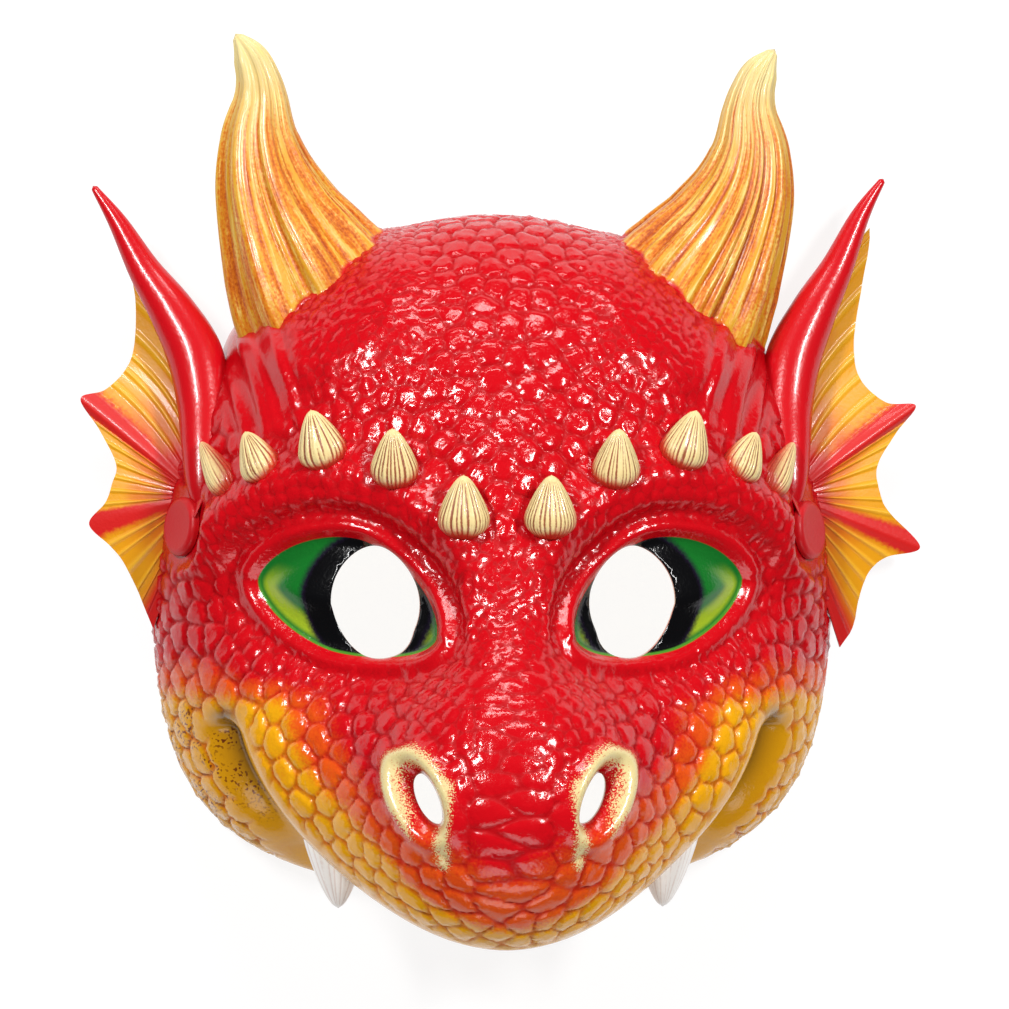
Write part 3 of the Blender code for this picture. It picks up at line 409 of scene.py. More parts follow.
def spread(place, spacing):
    """Places on the disc in rings that lie evenly on the surface."""
    rows, columns = 70, 181
    rho = np.linspace(0.002, 1.0, rows)
    theta = np.linspace(-math.pi / 2, 1.5 * math.pi, columns)
    p = place(np.repeat(rho, columns), np.tile(theta, rows)).reshape(rows, columns, 3)
    run = np.zeros((rows, columns))
    run[1:] = np.cumsum(np.linalg.norm(np.diff(p, axis=0), axis=2), axis=0)
    count = int(round(run[-1].mean() / (spacing * 0.87)))
    out = [np.zeros((1, 2))]
    for k in range(1, count + 1):
        row = np.array([np.interp(run[-1, j] * k / count, run[:, j], rho) for j in range(columns)])
        at = np.clip((row - rho[0]) / (rho[1] - rho[0]), 0, rows - 1.001)
        low = at.astype(int)
        part = (at - low)[:, None]
        ring = p[low, np.arange(columns)] * (1 - part) + p[low + 1, np.arange(columns)] * part
        length = np.concatenate([[0.0], np.cumsum(np.linalg.norm(np.diff(ring, axis=0), axis=1))])
        n = max(6, int(round(length[-1] / spacing)))
        turn = np.interp((np.arange(n) + 0.5 * (k % 2)) / n * length[-1], length, theta)
        out.append(np.stack([np.interp(turn, theta, row), turn], 1))
    return np.concatenate(out)


def find(xy, place):
    """Disc places, as flat (u, v), of the surface points that lie over these (x, y)."""
    rho, theta = np.meshgrid(np.linspace(0.01, 0.9, 60), np.linspace(0, 2 * math.pi, 121)[:-1])
    rho, theta = rho.ravel(), theta.ravel()
    gap = np.linalg.norm(place(rho, theta)[None, :, :2] - xy[:, None], axis=2)
    best = gap.argmin(1)
    flat = plane(np.stack([rho[best], theta[best]], 1))

    def at(f):
        return place(*polar(f))[:, :2]

    def cross(a, b):
        return a[:, 0] * b[:, 1] - a[:, 1] * b[:, 0]

    for _ in range(8):
        miss = xy - at(flat)
        du = (at(flat + (0.002, 0.0)) - at(flat - (0.002, 0.0))) / 0.004
        dv = (at(flat + (0.0, 0.002)) - at(flat - (0.0, 0.002))) / 0.004
        move = np.stack([cross(miss, dv), cross(du, miss)], 1) / cross(du, dv)[:, None]
        size = np.linalg.norm(move, axis=1)[:, None]
        flat = flat + move * np.minimum(1.0, 0.03 / np.maximum(size, 1e-9))
    return flat


def placed(u, v, place, tilt, side):
    """Plane places of points along and across a form that lies turned on one half of the face."""
    x = place[0] + u * math.cos(tilt) - v * math.sin(tilt)
    y = place[1] + u * math.sin(tilt) + v * math.cos(tilt)
    return np.stack([side * x, y], 1)


def eye_line(count, side):
    """Loop of (x, y) along the eye outline."""
    a = turns(count)
    c, s = np.cos(a), np.sin(a)
    u = EYE_HALF_LENGTH * np.sign(c) * np.abs(c) ** (2 / EYE_FULLNESS)
    v = np.where(s > 0, EYE_RISE, EYE_FALL) * np.sign(s) * np.abs(s) ** (2 / EYE_FULLNESS)
    return placed(u, v, EYE_PLACE, EYE_TILT, side)


def clear(p, spots, gap, flat, holes):
    """Whether each place is off the spots by the gap and outside the holes."""
    good = np.array([np.linalg.norm(spots - q, axis=1).min() for q in p]) > gap
    for loop in holes:
        good &= ~inside(flat, loop)
    return good


def sheet(place, rim, flat, holes, lines, keep_off):
    """Triangles over the disc places, with the rim, the hole outlines and the feature lines as edges."""
    marks, edges = [], []
    for loop in [rim] + holes:
        edges += [(len(marks) + i, len(marks) + (i + 1) % len(loop)) for i in range(len(loop))]
        marks += [tuple(q) for q in loop]
    hole_spots = place(*polar(np.array(marks)))
    for loop in lines:
        number = {}
        for i in np.nonzero(clear(place(*polar(loop)), hole_spots, keep_off, loop, holes))[0]:
            number[i] = len(marks)
            marks.append(tuple(loop[i]))
        for i in number:
            after = (i + 1) % len(loop)
            if after in number:
                edges.append((number[i], number[after]))
    spots = place(*polar(np.array(marks)))
    free = flat[clear(place(*polar(flat)), spots, keep_off, flat, holes)]
    points = np.concatenate([np.array(marks), free])
    made = delaunay_2d_cdt([tuple(q) for q in points], edges, [], 0, 1e-7, False)
    flat = np.array([tuple(q) for q in made[0]])
    tris = np.array(made[2])
    middle = flat[tris].mean(1)
    good = np.ones(len(tris), bool)
    for loop in holes:
        good &= ~inside(middle, loop)
    return flat, tris[good]


def inside(q, loop):
    """Whether each flat point lies inside a closed loop."""
    after = np.roll(loop, -1, axis=0)
    x, y = q.T[:, :, None]
    cross = (loop[:, 1] > y) != (after[:, 1] > y)
    rise = np.where(after[:, 1] == loop[:, 1], 1e-12, after[:, 1] - loop[:, 1])
    at = loop[:, 0] + (y - loop[:, 1]) * (after[:, 0] - loop[:, 0]) / rise
    return ((cross & (x < at)).sum(1) % 2) == 1


def thin(p, reach):
    """Indices of points kept so that none is closer than its reach to an earlier one."""
    cell = reach.max()
    book = {}
    kept = []
    for i, q in enumerate(p):
        key = tuple((q // cell).astype(int))
        near = [j for a in (-1, 0, 1) for b in (-1, 0, 1) for c in (-1, 0, 1)
                for j in book.get((key[0] + a, key[1] + b, key[2] + c), ())]
        if near and np.min(np.linalg.norm(p[near] - q, axis=1)) < reach[i]:
            continue
        book.setdefault(key, []).append(i)
        kept.append(i)
    return np.array(kept)


def polar(flat):
    """Disc places as (rho, theta) from flat (u, v), and plane() turns them back."""
    return np.hypot(*flat.T), np.arctan2(flat[:, 1], flat[:, 0])


def plane(places):
    return np.stack([places[:, 0] * np.cos(places[:, 1]), places[:, 0] * np.sin(places[:, 1])], 1)


def smooth_row(values, count):
    """Smooth samples through a row of values, evenly along the row."""
    values = np.reshape(np.array(values, float), (len(values), -1))
    t = np.linspace(0.0, len(values) - 1, count)
    k = np.clip(t.astype(int), 0, len(values) - 2)
    f = (t - k)[:, None]
    padded = np.concatenate([2 * values[:1] - values[1:2], values, 2 * values[-1:] - values[-2:-1]])
    a, b, c, d = padded[k], padded[k + 1], padded[k + 2], padded[k + 3]
    square = 2 * a - 5 * b + 4 * c - d
    cube = 3 * b - a - 3 * c + d
    return 0.5 * (2 * b + (c - a) * f + square * f ** 2 + cube * f ** 3)


def ring_faces(first, rings, sides):
    """Faces between rings of points that follow one another."""
    faces = []
    for i in range(first, first + (rings - 1) * sides, sides):
        for j in range(sides):
            k = (j + 1) % sides
            faces.append((i + j, i + k, i + sides + k, i + sides + j))
    return faces


def tube(line, wide, deep, sides, flutes=0, flute_depth=0.0):
    """Closed tapered tube through the points of a line: rings wide across the mask plane, deep in Z."""
    line = np.asarray(line, float)
    run = np.gradient(line, axis=0)
    run /= np.linalg.norm(run, axis=1)[:, None]
    across = np.cross(run, (0.0, 0.0, 1.0))
    across /= np.linalg.norm(across, axis=1)[:, None]
    rise = np.cross(across, run)
    a = turns(sides)
    swell = 1.0 + flute_depth * np.cos(flutes * a)
    rings = [line[i] + (wide[i] * np.cos(a) * swell)[:, None] * across[i]
             + (deep[i] * np.sin(a) * swell)[:, None] * rise[i] for i in range(len(line))]
    points = np.concatenate(rings + [line[:1], line[-1:] + run[-1:] * wide[-1] * 0.8])
    first, last = len(points) - 2, len(points) - 1
    faces = ring_faces(0, len(line), sides)
    for j in range(sides):
        k = (j + 1) % sides
        faces += [(first, k, j), (last, first - sides + j, first - sides + k)]
    return points, faces


def skin_height(xy):
    """Height of the soft form over a place of the plane."""
    points = column(*xy, 20.0, 115.0, 960)
    return points[masses(points) - hollows(points) < 0.0, 2].max()


def lathe(profile, centre, axis, sides):
    """Closed round body from (radius, height) pairs about an axis; the ends lie on it."""
    side = np.cross(axis, (0.0, 1.0, 0.0))
    side /= np.linalg.norm(side)
    up = np.cross(axis, side)
    a = turns(sides)
    ring = np.cos(a)[:, None] * side + np.sin(a)[:, None] * up
    rings = [centre + axis * height + ring * radius for radius, height in profile[1:-1]]
    foot, top = [(centre + axis * height)[None] for _, height in (profile[0], profile[-1])]
    points = np.concatenate([foot] + rings + [top])
    last = len(points) - 1
    faces = ring_faces(1, len(rings), sides)
    for j in range(sides):
        k = (j + 1) % sides
        faces += [(0, 1 + k, 1 + j), (last, last - sides + j, last - sides + k)]
    return points, faces


SEED = 11
SCALE_DEPTH = 0.15
FINE = 1.0


def warp(p):
    """Places squeezed across the nose bridge, where the scales are broad plates."""
    x, y, z = p.T
    share = 0.58 * step(-8.0, -18.0, y) * step(-78.0, -68.0, y) * step(50.0, 60.0, z)
    return np.stack([x - share * np.clip(x, -8.5, 8.5), y, z], 1)


def scale_gap(p):
    """Spacing of the scales: broad on the forehead and cheeks, fine about the eyes, brow and horns."""
    x, y = p.T[:2]
    reach = np.abs(x)
    _, v, eye = eye_frame(x, y)
    above = y - np.interp(reach, BROW_X, BROW_Y)
    gap = 6.6 + 1.2 * step(40.0, 62.0, reach) * step(8.0, -12.0, y)
    gap = gap - 2.4 * (step(30.0, 22.0, reach) * step(4.0, -6.0, y) * step(-50.0, -38.0, y))
    gap = np.where(v > -2.0, np.minimum(gap, 3.0 + 0.5 * np.maximum(above - 4.0, 0.0)), gap)
    gap = np.minimum(gap, 3.2 + 0.34 * np.maximum(eye - 4.0, 0.0))
    horn_root = np.minimum(np.hypot(x + 47.0, y - 79.0), np.hypot(x - 50.0, y - 77.0))
    return np.minimum(gap, 2.6 + 0.4 * np.maximum(horn_root - 26.0, 0.0))


def tree_of(points):
    tree = KDTree(len(points))
    for i, q in enumerate(points):
        tree.insert(q, i)
    tree.balance()
    return tree


def scale_tree():
    """Centres of the scales, spread at random and then evened out."""
    p = core(*polar(plane(spread(core, 1.3))))
    gap = scale_gap(p)
    order = np.random.default_rng(SEED).permutation(len(p))
    seeds = p[order[thin(warp(p)[order], 0.84 * gap[order])]]
    weight = 1.0 / gap ** 3
    for _ in range(3):
        tree = tree_of(warp(seeds))
        owner = np.array([tree.find(q)[1] for q in warp(p)])
        total = np.maximum(np.bincount(owner, weight, len(seeds)), 1e-9)
        sums = [np.bincount(owner, weight * p[:, i], len(seeds)) for i in range(3)]
        seeds = np.where((total > 1e-8)[:, None], np.stack(sums, 1) / total[:, None], seeds)
    return tree_of(warp(seeds))


SCALES = scale_tree()


def tiles(p):
    """0 in the grooves between the scales and 1 at their centres."""
    found = np.array([[hit[2] for hit in SCALES.find_n(q, 3)] for q in warp(p)])
    gap = scale_gap(p)
    a = (found[:, 1] - found[:, 0]) / gap
    b = (found[:, 2] - found[:, 0]) / gap
    return np.clip(2.0 * a * b / np.maximum(a + b, 1e-6), 0.0, 1.2)


def temple(x, y, side):
    """How far a place is from the middle of the folds at one temple."""
    return np.hypot(x * side - TEMPLE[0], (y - TEMPLE[1]) * 0.8)


def smooth_places(p):
    """1 where the skin carries scales and 0 on lids, lips, folds, nostrils and seats."""
    x, y = p.T[:2]
    keep = step(3.4, 6.0, eye_frame(x, y)[2])
    keep *= step(3.4, 6.2, nostril_frame(x, y)[2])
    lip = lip_distance(x, y)
    keep *= 1.0 - step(-3.8, -1.6, lip) * step(10.0, 7.5, lip) * step(-26.0, -32.0, y)
    for side in (-1, 1):
        keep *= 1.0 - step(17.0, 9.0, temple(x, y, side))
    for centre, _ in SEATS.values():
        keep *= step(SEAT_HALF, SEAT_HALF + 3.0, np.linalg.norm(p - centre, axis=1))
    return keep


def wrinkles(p):
    """Double creases over the upper lid and soft folds at the temples."""
    x, y, z = p.T
    front = step(14.0, 34.0, z)
    _, v, eye = eye_frame(x, y)
    lid = front * step(-2.0, 4.0, v)
    rise = -1.0 * bump(eye - 6.6, 1.3) * lid + 0.9 * bump(eye - 9.0, 1.5) * lid
    rise += -0.5 * bump(eye - 4.6, 0.9) * front * step(2.0, -4.0, v)
    for side in (-1, 1):
        across = x * side - 0.25 * (y - TEMPLE[1])
        wave = np.sin(across * 0.95 + 0.8 * np.sin(across * 0.37)) + 0.35 * np.sin(across * 2.1 + 0.05 * y)
        rise += 0.60 * step(18.0, 8.0, temple(x, y, side)) * wave * step(20.0, 30.0, z)
    return rise


def fine_skin(flat):
    """Points of the outer face with scales and wrinkles, the soft form under them and the scale pattern."""
    p = core(*polar(flat))
    x, y, z = p.T
    t = tiles(p)
    high = step(0.0, 0.36, t) - 0.20 * bump(t - 0.62, 0.09) + 0.34 * step(0.60, 1.05, t) - 1.0
    nose = 1.0 - 0.35 * step(16.0, 8.0, np.abs(x)) * step(-10.0, -22.0, y) * step(50.0, 60.0, z)
    high *= (0.19 + SCALE_DEPTH * scale_gap(p)) * smooth_places(p) * nose
    out = p + (hollows(p) + relief(p) + wrinkles(p) + high)[:, None] * slope(p, masses)
    return flatten(out, SEAT_DROP), p, t


def nearest(points, q):
    return int(np.linalg.norm(points - q, axis=1).argmin())


def skin_values(p, t):
    """Named values for the skin's paint, by place on the soft form."""
    x, y, z = p.T
    eye_v, eye = eye_frame(x, y)[1:]
    u, v, pit = nostril_frame(x, y)
    lip = lip_distance(x, y)
    wide = step(10.0, 38.0, np.abs(x))
    upper = 0.5 * step(32.0, 16.0, -lip) + 0.5 * step(11.0 + 6.0 * wide, 4.5 + 5.0 * wide, -lip)
    cheek = 0.5 * step(-9.0, -22.0, y) + 0.5 * step(-19.0, -29.0, y)
    jaw = upper * step(-14.0, -30.0, y) * step(3.0, -3.0, lip) + cheek * step(-3.0, 3.0, lip)
    # Painted shade: a thin dark line along the inner edge of the upper lip, and below it a broader brown in
    # the mouth groove's upper part.
    mouth = 0.8 * bump(lip - 2.2, 1.5) * step(-27.0, -33.0, y) * step(4.0, 16.0, np.abs(x))
    deep = 1.1 * bump(lip - 3.4, 2.7) * step(-25.0, -30.0, y) * step(-68.0, -42.0, y)
    dots = step(1.0, 5.0, lip) * step(-30.0, -40.0, x) * step(-22.0, -30.0, y) * step(-62.0, -50.0, y)
    return {"eye": eye,
            "eye_v": eye_v,
            "pupil": loop_distance(np.abs(x) - PUPIL_PLACE[0], y - PUPIL_PLACE[1], *PUPIL_HALF, 2.0),
            "cream": cream_distance(u, v, pit, z),
            "jaw": np.maximum(jaw, step(46.0, 38.0, z) * step(-40.0, -50.0, y)),
            "mouth": np.maximum(mouth, deep),
            "dots": dots,
            "tile": t,
            "scaled": smooth_places(p),
            "inside": np.zeros(len(p))}


def skin_mesh():
    """Closed shell: the scaled outer face, the plain lining, and the walls of the rim and holes."""
    out_holes, in_holes = [], []
    for side in (-1, 1):
        for centre, half, tilt, count in ((EYE_HOLE_PLACE, EYE_HOLE_HALF, 0.0, 84),
                                          (NOSTRIL_PLACE, NOSTRIL_HOLE_HALF, NOSTRIL_TILT, 40)):
            a = turns(count)
            xy = placed(half[0] * np.cos(a), half[1] * np.sin(a), centre, tilt, side)
            out_holes.append(find(xy, core))
            in_holes.append(find(skin(*polar(out_holes[-1]))[:, :2], lining))
    lines = [find(eye_line(120, side), core) for side in (-1, 1)]
    turn = turns(460)
    rim = np.stack([np.cos(turn), np.sin(turn)], 1)
    flat = plane(spread(core, 0.57 * FINE))
    flat = flat[np.hypot(*flat.T) < 0.992]
    p = core(*polar(flat))
    t = tiles(p)
    keep = smooth_places(p)
    reach = 0.60 + 0.26 * step(0.20, 0.34, t) + 0.55 * step(0.72, 0.85, t)
    reach = (reach * keep + (1.0 - keep)) * FINE
    order = np.argsort(reach, kind="stable")
    flat = flat[order[thin(p[order], reach[order])]]
    flat, tris = sheet(core, rim, flat, out_holes, lines, 0.40 * FINE)
    outer, base, t = fine_skin(flat)
    flat_in, tris_in = sheet(lining, rim, plane(spread(lining, 3.4)), in_holes, [], 1.3)
    inner = lining(*polar(flat_in))
    faces = tris.tolist() + (tris_in[:, ::-1] + len(outer)).tolist()
    for a_loop, b_loop in list(zip(out_holes, in_holes)) + [(rim, rim)]:
        a = [nearest(flat, q) for q in a_loop]
        b = [nearest(flat_in, q) + len(outer) for q in b_loop]
        for i in range(len(a)):
            j = (i + 1) % len(a)
            faces += [(a[i], a[j], b[j]), (a[i], b[j], b[i])]
    plain = {"eye": 50.0, "pupil": 50.0, "cream": 50.0, "tile": 1.0, "inside": 1.0}
    values = {name: np.concatenate([row, np.full(len(inner), plain.get(name, 0.0))])
              for name, row in skin_values(base, t).items()}
    return np.concatenate([outer, inner]), faces, values


def cream_distance(u, v, pit, z):
    """How far a point is outside the pale paint about a nostril."""
    top = np.where(v > -1.0, np.abs(pit - 1.9) - 1.6, 50.0)
    q = np.stack([u, v], 1)
    nose_side = rod(q, (-5.6, 0.5), (1.4, -17.0), 2.5, 0.9)
    cheek_side = rod(q, (5.4, 1.5), (5.2, -7.5), 1.6, 0.3)
    return np.where(z > 40.0, np.minimum(np.minimum(top, nose_side), cheek_side), 50.0)


def mid_wall(points):
    """Buried points drawn back to the middle of the shell's wall."""
    for _ in range(6):
        depth = np.minimum(masses(points) - hollows(points) + 0.5 * WALL, 0.0)
        points = points - (0.9 * depth)[:, None] * slope(points, masses)
    return points


def ripple(turn, along, low, high, count, seed):
    """Uneven lengthwise lines round a tube: a sum of waves that drift slowly along it."""
    rng = np.random.default_rng(seed)
    total = np.zeros(len(turn))
    for _ in range(count):
        wave = int(rng.integers(low, high))
        total += np.sin(wave * turn + rng.uniform(0.0, 6.3) + rng.uniform(-2.5, 2.5) * along)
    return total / math.sqrt(count)


def rings_of(points, sides):
    """Share along the tube and angle round it of every point that tube() makes."""
    rings = len(points) // sides
    along = np.repeat(np.linspace(0.0, 1.0, rings), sides)
    return np.append(along, (0.0, 1.0)), np.append(np.tile(turns(sides), rings), (0.0, 0.0))


def moved_out(points, sides, amount):
    """Points of a tube moved away from the middle of their own ring."""
    rings = points[:-2].reshape(-1, sides, 3)
    away = points[:-2] - np.repeat(rings.mean(1), sides, 0)
    away /= np.maximum(np.linalg.norm(away, axis=1), 0.05)[:, None]
    out = points.copy()
    out[:-2] += away * amount[:-2, None]
    return out


def horn_mesh(side):
    """Fluted horn with fine lengthwise lines and a red scalloped collar where it leaves the skin."""
    rings, sides = HORN_MESH
    width = smooth_row(HORN_WIDTH, rings)[:, 0]
    z = HORN_ROOT_Z + (HORN_TIP_Z - HORN_ROOT_Z) * step(0.0, 1.0, np.linspace(0.0, 1.0, rings))
    line = np.concatenate([smooth_row(horn_line(side), rings), z[:, None]], 1)
    points, faces = tube(line, width / 2, width / 2 * HORN_FLATNESS, sides, HORN_FLUTES, HORN_FLUTE_DEPTH)
    along, turn = rings_of(points, sides)
    thick = np.append(np.repeat(width, sides), (width[0], width[-1]))
    over = masses(points) - hollows(points)
    wave = ripple(turn, along * 0.3, 4, 11, 5, 30 + side)
    collar = step(0.9, 0.0, over - 1.6 - 0.8 * wave)
    folds = ripple(turn, along * 0.5, 4, 10, 4, 20 + side)
    lines = ripple(turn, along, 11, 46, 12, 50 + side)
    fine = ripple(turn, along, 50, 110, 14, 70 + side)
    rise = (0.55 * folds + 0.36 * lines + 0.12 * fine) * np.clip(thick / 30.0, 0.15, 1.0)
    rise = rise * (1.0 - collar) * step(1.0, 0.9, along)
    points = mid_wall(moved_out(points, sides, rise + 0.6 * collar))
    grain = np.stack([np.cos(turn) * 2.0, np.sin(turn) * 2.0, along * 0.9], 1)
    return points, faces, {"along": along, "collar": collar, "lines": lines, "grain": grain}


def spar_mesh(side):
    rings, sides = SPAR_MESH
    line = smooth_row(SPAR_LINE, rings)
    if side > 0:
        line = line * (-1.0, 1.0) + step(60.0, 105.0, line[:, 1:]) * (-2.2, 2.6)
    width = smooth_row(SPAR_WIDTH, rings)[::-1, 0]
    line = np.concatenate([line, smooth_row(SPAR_Z, rings)], 1)
    points, faces = tube(line[::-1], width / 2, width / 2 * 0.85, sides)
    return mid_wall(points), faces, {}


def fin_mesh(side):
    """Webbed ear fin: a thin sheet fanning out from the cheek, with red ribs and fine rays between them."""
    across, along = FIN_ACROSS, FIN_ALONG
    row = np.linspace(0.0, 16.0, across)
    edge = smooth_row(FIN_EDGE[side], across)
    rib = smooth_row(FIN_RIB, across)[:, 0]
    rays = np.maximum(0.0, np.cos(row * 2 * math.pi * 1.5 + 0.6 * np.sin(row * 1.7))) ** 2
    rays *= 1.0 - step(0.45, 0.85, rib)
    apex = np.array(FIN_APEX) * (-side, 1.0)
    tip = np.linalg.norm(edge - apex, axis=1)
    bow = FIN_BOW * step(0.42, 0.0, np.linspace(0.0, 1.0, across))[:, None]
    aside = np.stack([edge[:, 1] - apex[1], apex[0] - edge[:, 0]], 1) / tip[:, None] * -side
    tip_z = FIN_ROOT_Z - 4.0 - (FIN_ROOT_Z - 4.0 - FIN_TIP_Z) * step(18.0, 38.0, tip)

    def web(s):
        """Middle of the web at this share of the way from the apex to the edge."""
        xy = apex + (edge - apex) * s[:, None] + aside * bow * 4.0 * (s * (1.0 - s))[:, None]
        return np.concatenate([xy, (FIN_ROOT_Z + (tip_z - FIN_ROOT_Z) * s ** 1.2)[:, None]], 1)

    root = np.zeros(across)
    for share in np.linspace(0.0, 0.95, 160):
        root = np.where(masses(web(np.full(across, share))) < -0.55 * WALL, share, root)
    rows = []
    for face, lifted in ((1, 1.0), (-1, 0.8)):
        for part in np.linspace(0.0, 1.0, along):
            s = root + (1.0 - root) * part
            spot = web(s)
            lift = rib * 1.5 * (0.25 + 0.75 * s) * (1.0 - 0.35 * s) + 0.42 * rays * step(0.1, 0.45, s)
            spot[:, 2] += face * FIN_THICK * (1.0 - 0.35 * s) / 2 + lift * lifted
            rows.append(np.concatenate([spot, np.stack([s, rib, row, rays], 1)], 1))
    table = np.concatenate(rows)
    grid = np.arange(len(table)).reshape(2, along, across)
    top, low = grid
    faces = np.stack([top[:-1, :-1], top[1:, :-1], top[1:, 1:], top[:-1, 1:]], -1).reshape(-1, 4).tolist()
    faces += np.stack([low[:-1, :-1], low[:-1, 1:], low[1:, 1:], low[1:, :-1]], -1).reshape(-1, 4).tolist()
    for a, b in (grid[:, :, 0], grid[:, :, -1], grid[:, 0], grid[:, -1]):
        faces += np.stack([a[:-1], a[1:], b[1:], b[:-1]], -1).tolist()
    values = dict(zip(("reach", "rib", "row", "rays"), table[:, 3:].T))
    return table[:, :3], faces, values


def fluted(points, faces, sides, depth, seed):
    """Fan of lengthwise grooves cut into a claw."""
    along, turn = rings_of(points, sides)
    lines = ripple(turn, along * 1.5, 14, 40, 9, seed)
    groove = step(0.6, -0.8, lines) * step(0.97, 0.75, along)
    return moved_out(points, sides, -depth * groove), faces, {"groove": groove}


def claw_fine(root, tip, width, depth, mesh, heel=0.0):
    """The same pointed claw as the solid's, but finer, and with a round root where it has a heel."""
    rings, sides = mesh
    t = 0.5 - 0.4975 * np.cos(np.linspace(0.0, math.pi, rings))
    t = t if heel > 0.0 else 0.995 * np.sin(np.linspace(0.0, 0.5 * math.pi, rings))
    line = root - (tip - root) * heel + (tip - root) * (1.0 + heel) * t[:, None]
    share = np.clip(t * (1.0 + heel) - heel, 0.0, 1.0)
    narrow = np.sqrt(np.maximum(1.0 - share ** 1.6, 0.0)) * (1.0 - 0.34 * share)
    if heel > 0.0:
        low = np.clip(t * (1.0 + heel) / (2.2 * heel), 0.0, 1.0)
        narrow = narrow * np.sqrt(1.0 - (1.0 - low) ** 2)
    return tube(line, width / 2 * narrow, depth / 2 * narrow, sides)


def spike_mesh(side, number):
    (x, y), (tx, ty), width, rise = SPIKES[number]
    base = np.array([x, y, skin_height((x, y))])
    root = base - slope(base[None], masses)[0] * 1.2
    tip = np.array([tx, ty, skin_height((tx, ty)) + rise])
    flip = (-side, 1.0, 1.0)
    claw = claw_fine(root * flip, tip * flip, width, width * 0.9, SPIKE_MESH, 0.26)
    points, faces, values = fluted(*claw, SPIKE_MESH[1], 0.26, 90 + number + 7 * side)
    values["over"] = masses(points) - hollows(points) - relief(points)
    return points, faces, values


def fang_mesh(side):
    root = np.array([(FANG_ROOT[0] + 0.8) * -side, FANG_ROOT[1], FANG_Z + 1.0])
    tip = np.array([FANG_TIP[0] * -side, FANG_TIP[1], FANG_Z - 0.5])
    claw = claw_fine(root, tip, FANG_WIDTH + 2.0, FANG_WIDTH, FANG_MESH)
    return fluted(*claw, FANG_MESH[1], 0.05, 120 + side)


def rivet_profile(smooth):
    """Radius and height pairs of a rivet; the smooth one has a rounded cap."""
    under = -SEAT_DROP + RIVET_GAP
    top = under + RIVET_CAP_HEIGHT
    low = -SEAT_DROP - WALL - RIVET_GAP
    cap = RIVET_CAP / 2
    shape = [(0, low - RIVET_HEAD_HEIGHT), (RIVET_HEAD / 2, low - RIVET_HEAD_HEIGHT), (RIVET_HEAD / 2, low),
             (RIVET_SHANK / 2, low), (RIVET_SHANK / 2, under), (cap, under), (cap, under + 0.8)]
    if smooth:
        a = np.linspace(0.0, 0.5 * math.pi, 10)[1:]
        shape += [(cap - 1.6 + 1.6 * math.cos(k), under + 0.8 + (top - under - 0.8) * math.sin(k)) for k in a]
        shape += [(cap - 2.6, top - 0.12), (cap * 0.5, top - 0.16)]
    else:
        shape += [(cap - 0.7, top - 0.3), (cap - 2.2, top)]
    return shape + [(0, top - 0.16 if smooth else top)]


def shift_to_frame():
    """Metres from the drawing's origin to the part's, from the left rivet drawn as its solid is."""
    drawn = lathe(rivet_profile(False), *SEATS[-1], 16)[0] * MM
    low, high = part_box("rivet_left")
    return (np.array(low) + np.array(high) - drawn.min(0) - drawn.max(0)) / 2


SHIFT = shift_to_frame()


def piece(name, points, faces, values, paint, node, limit=None):
    """A shown piece that stands for a node, with its smooth shading and its named values for the paint."""
    points = np.array(points, float)
    points[:, 2] = np.maximum(points[:, 2], 0.0)
    mesh = bpy.data.meshes.new(name)
    mesh.from_pydata((points * MM + SHIFT).tolist(), [], faces)
    for key, row in values.items():
        kind, socket = ("FLOAT", "value") if row.ndim == 1 else ("FLOAT_VECTOR", "vector")
        mesh.attributes.new(key, kind, "POINT").data.foreach_set(socket, row.ravel())
    work = bmesh.new()
    work.from_mesh(mesh)
    bmesh.ops.recalc_face_normals(work, faces=work.faces)
    if work.calc_volume(signed=True) < 0.0:
        bmesh.ops.reverse_faces(work, faces=work.faces)
    work.to_mesh(mesh)
    work.free()
    mesh.shade_smooth()
    if limit is not None:
        mesh.set_sharp_from_angle(angle=math.radians(limit))
    mesh.materials.append(paint.material)
    made = bpy.data.objects.new(name, mesh)
    bpy.context.collection.objects.link(made)
    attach(made, "root")
    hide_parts(node)


def colour(*screen):
    """Linear colour from a screen colour of three numbers up to 255."""
    shares = [c / 255 for c in screen]
    return (*[c / 12.92 if c <= 0.04045 else ((c + 0.055) / 1.055) ** 2.4 for c in shares], 1.0)


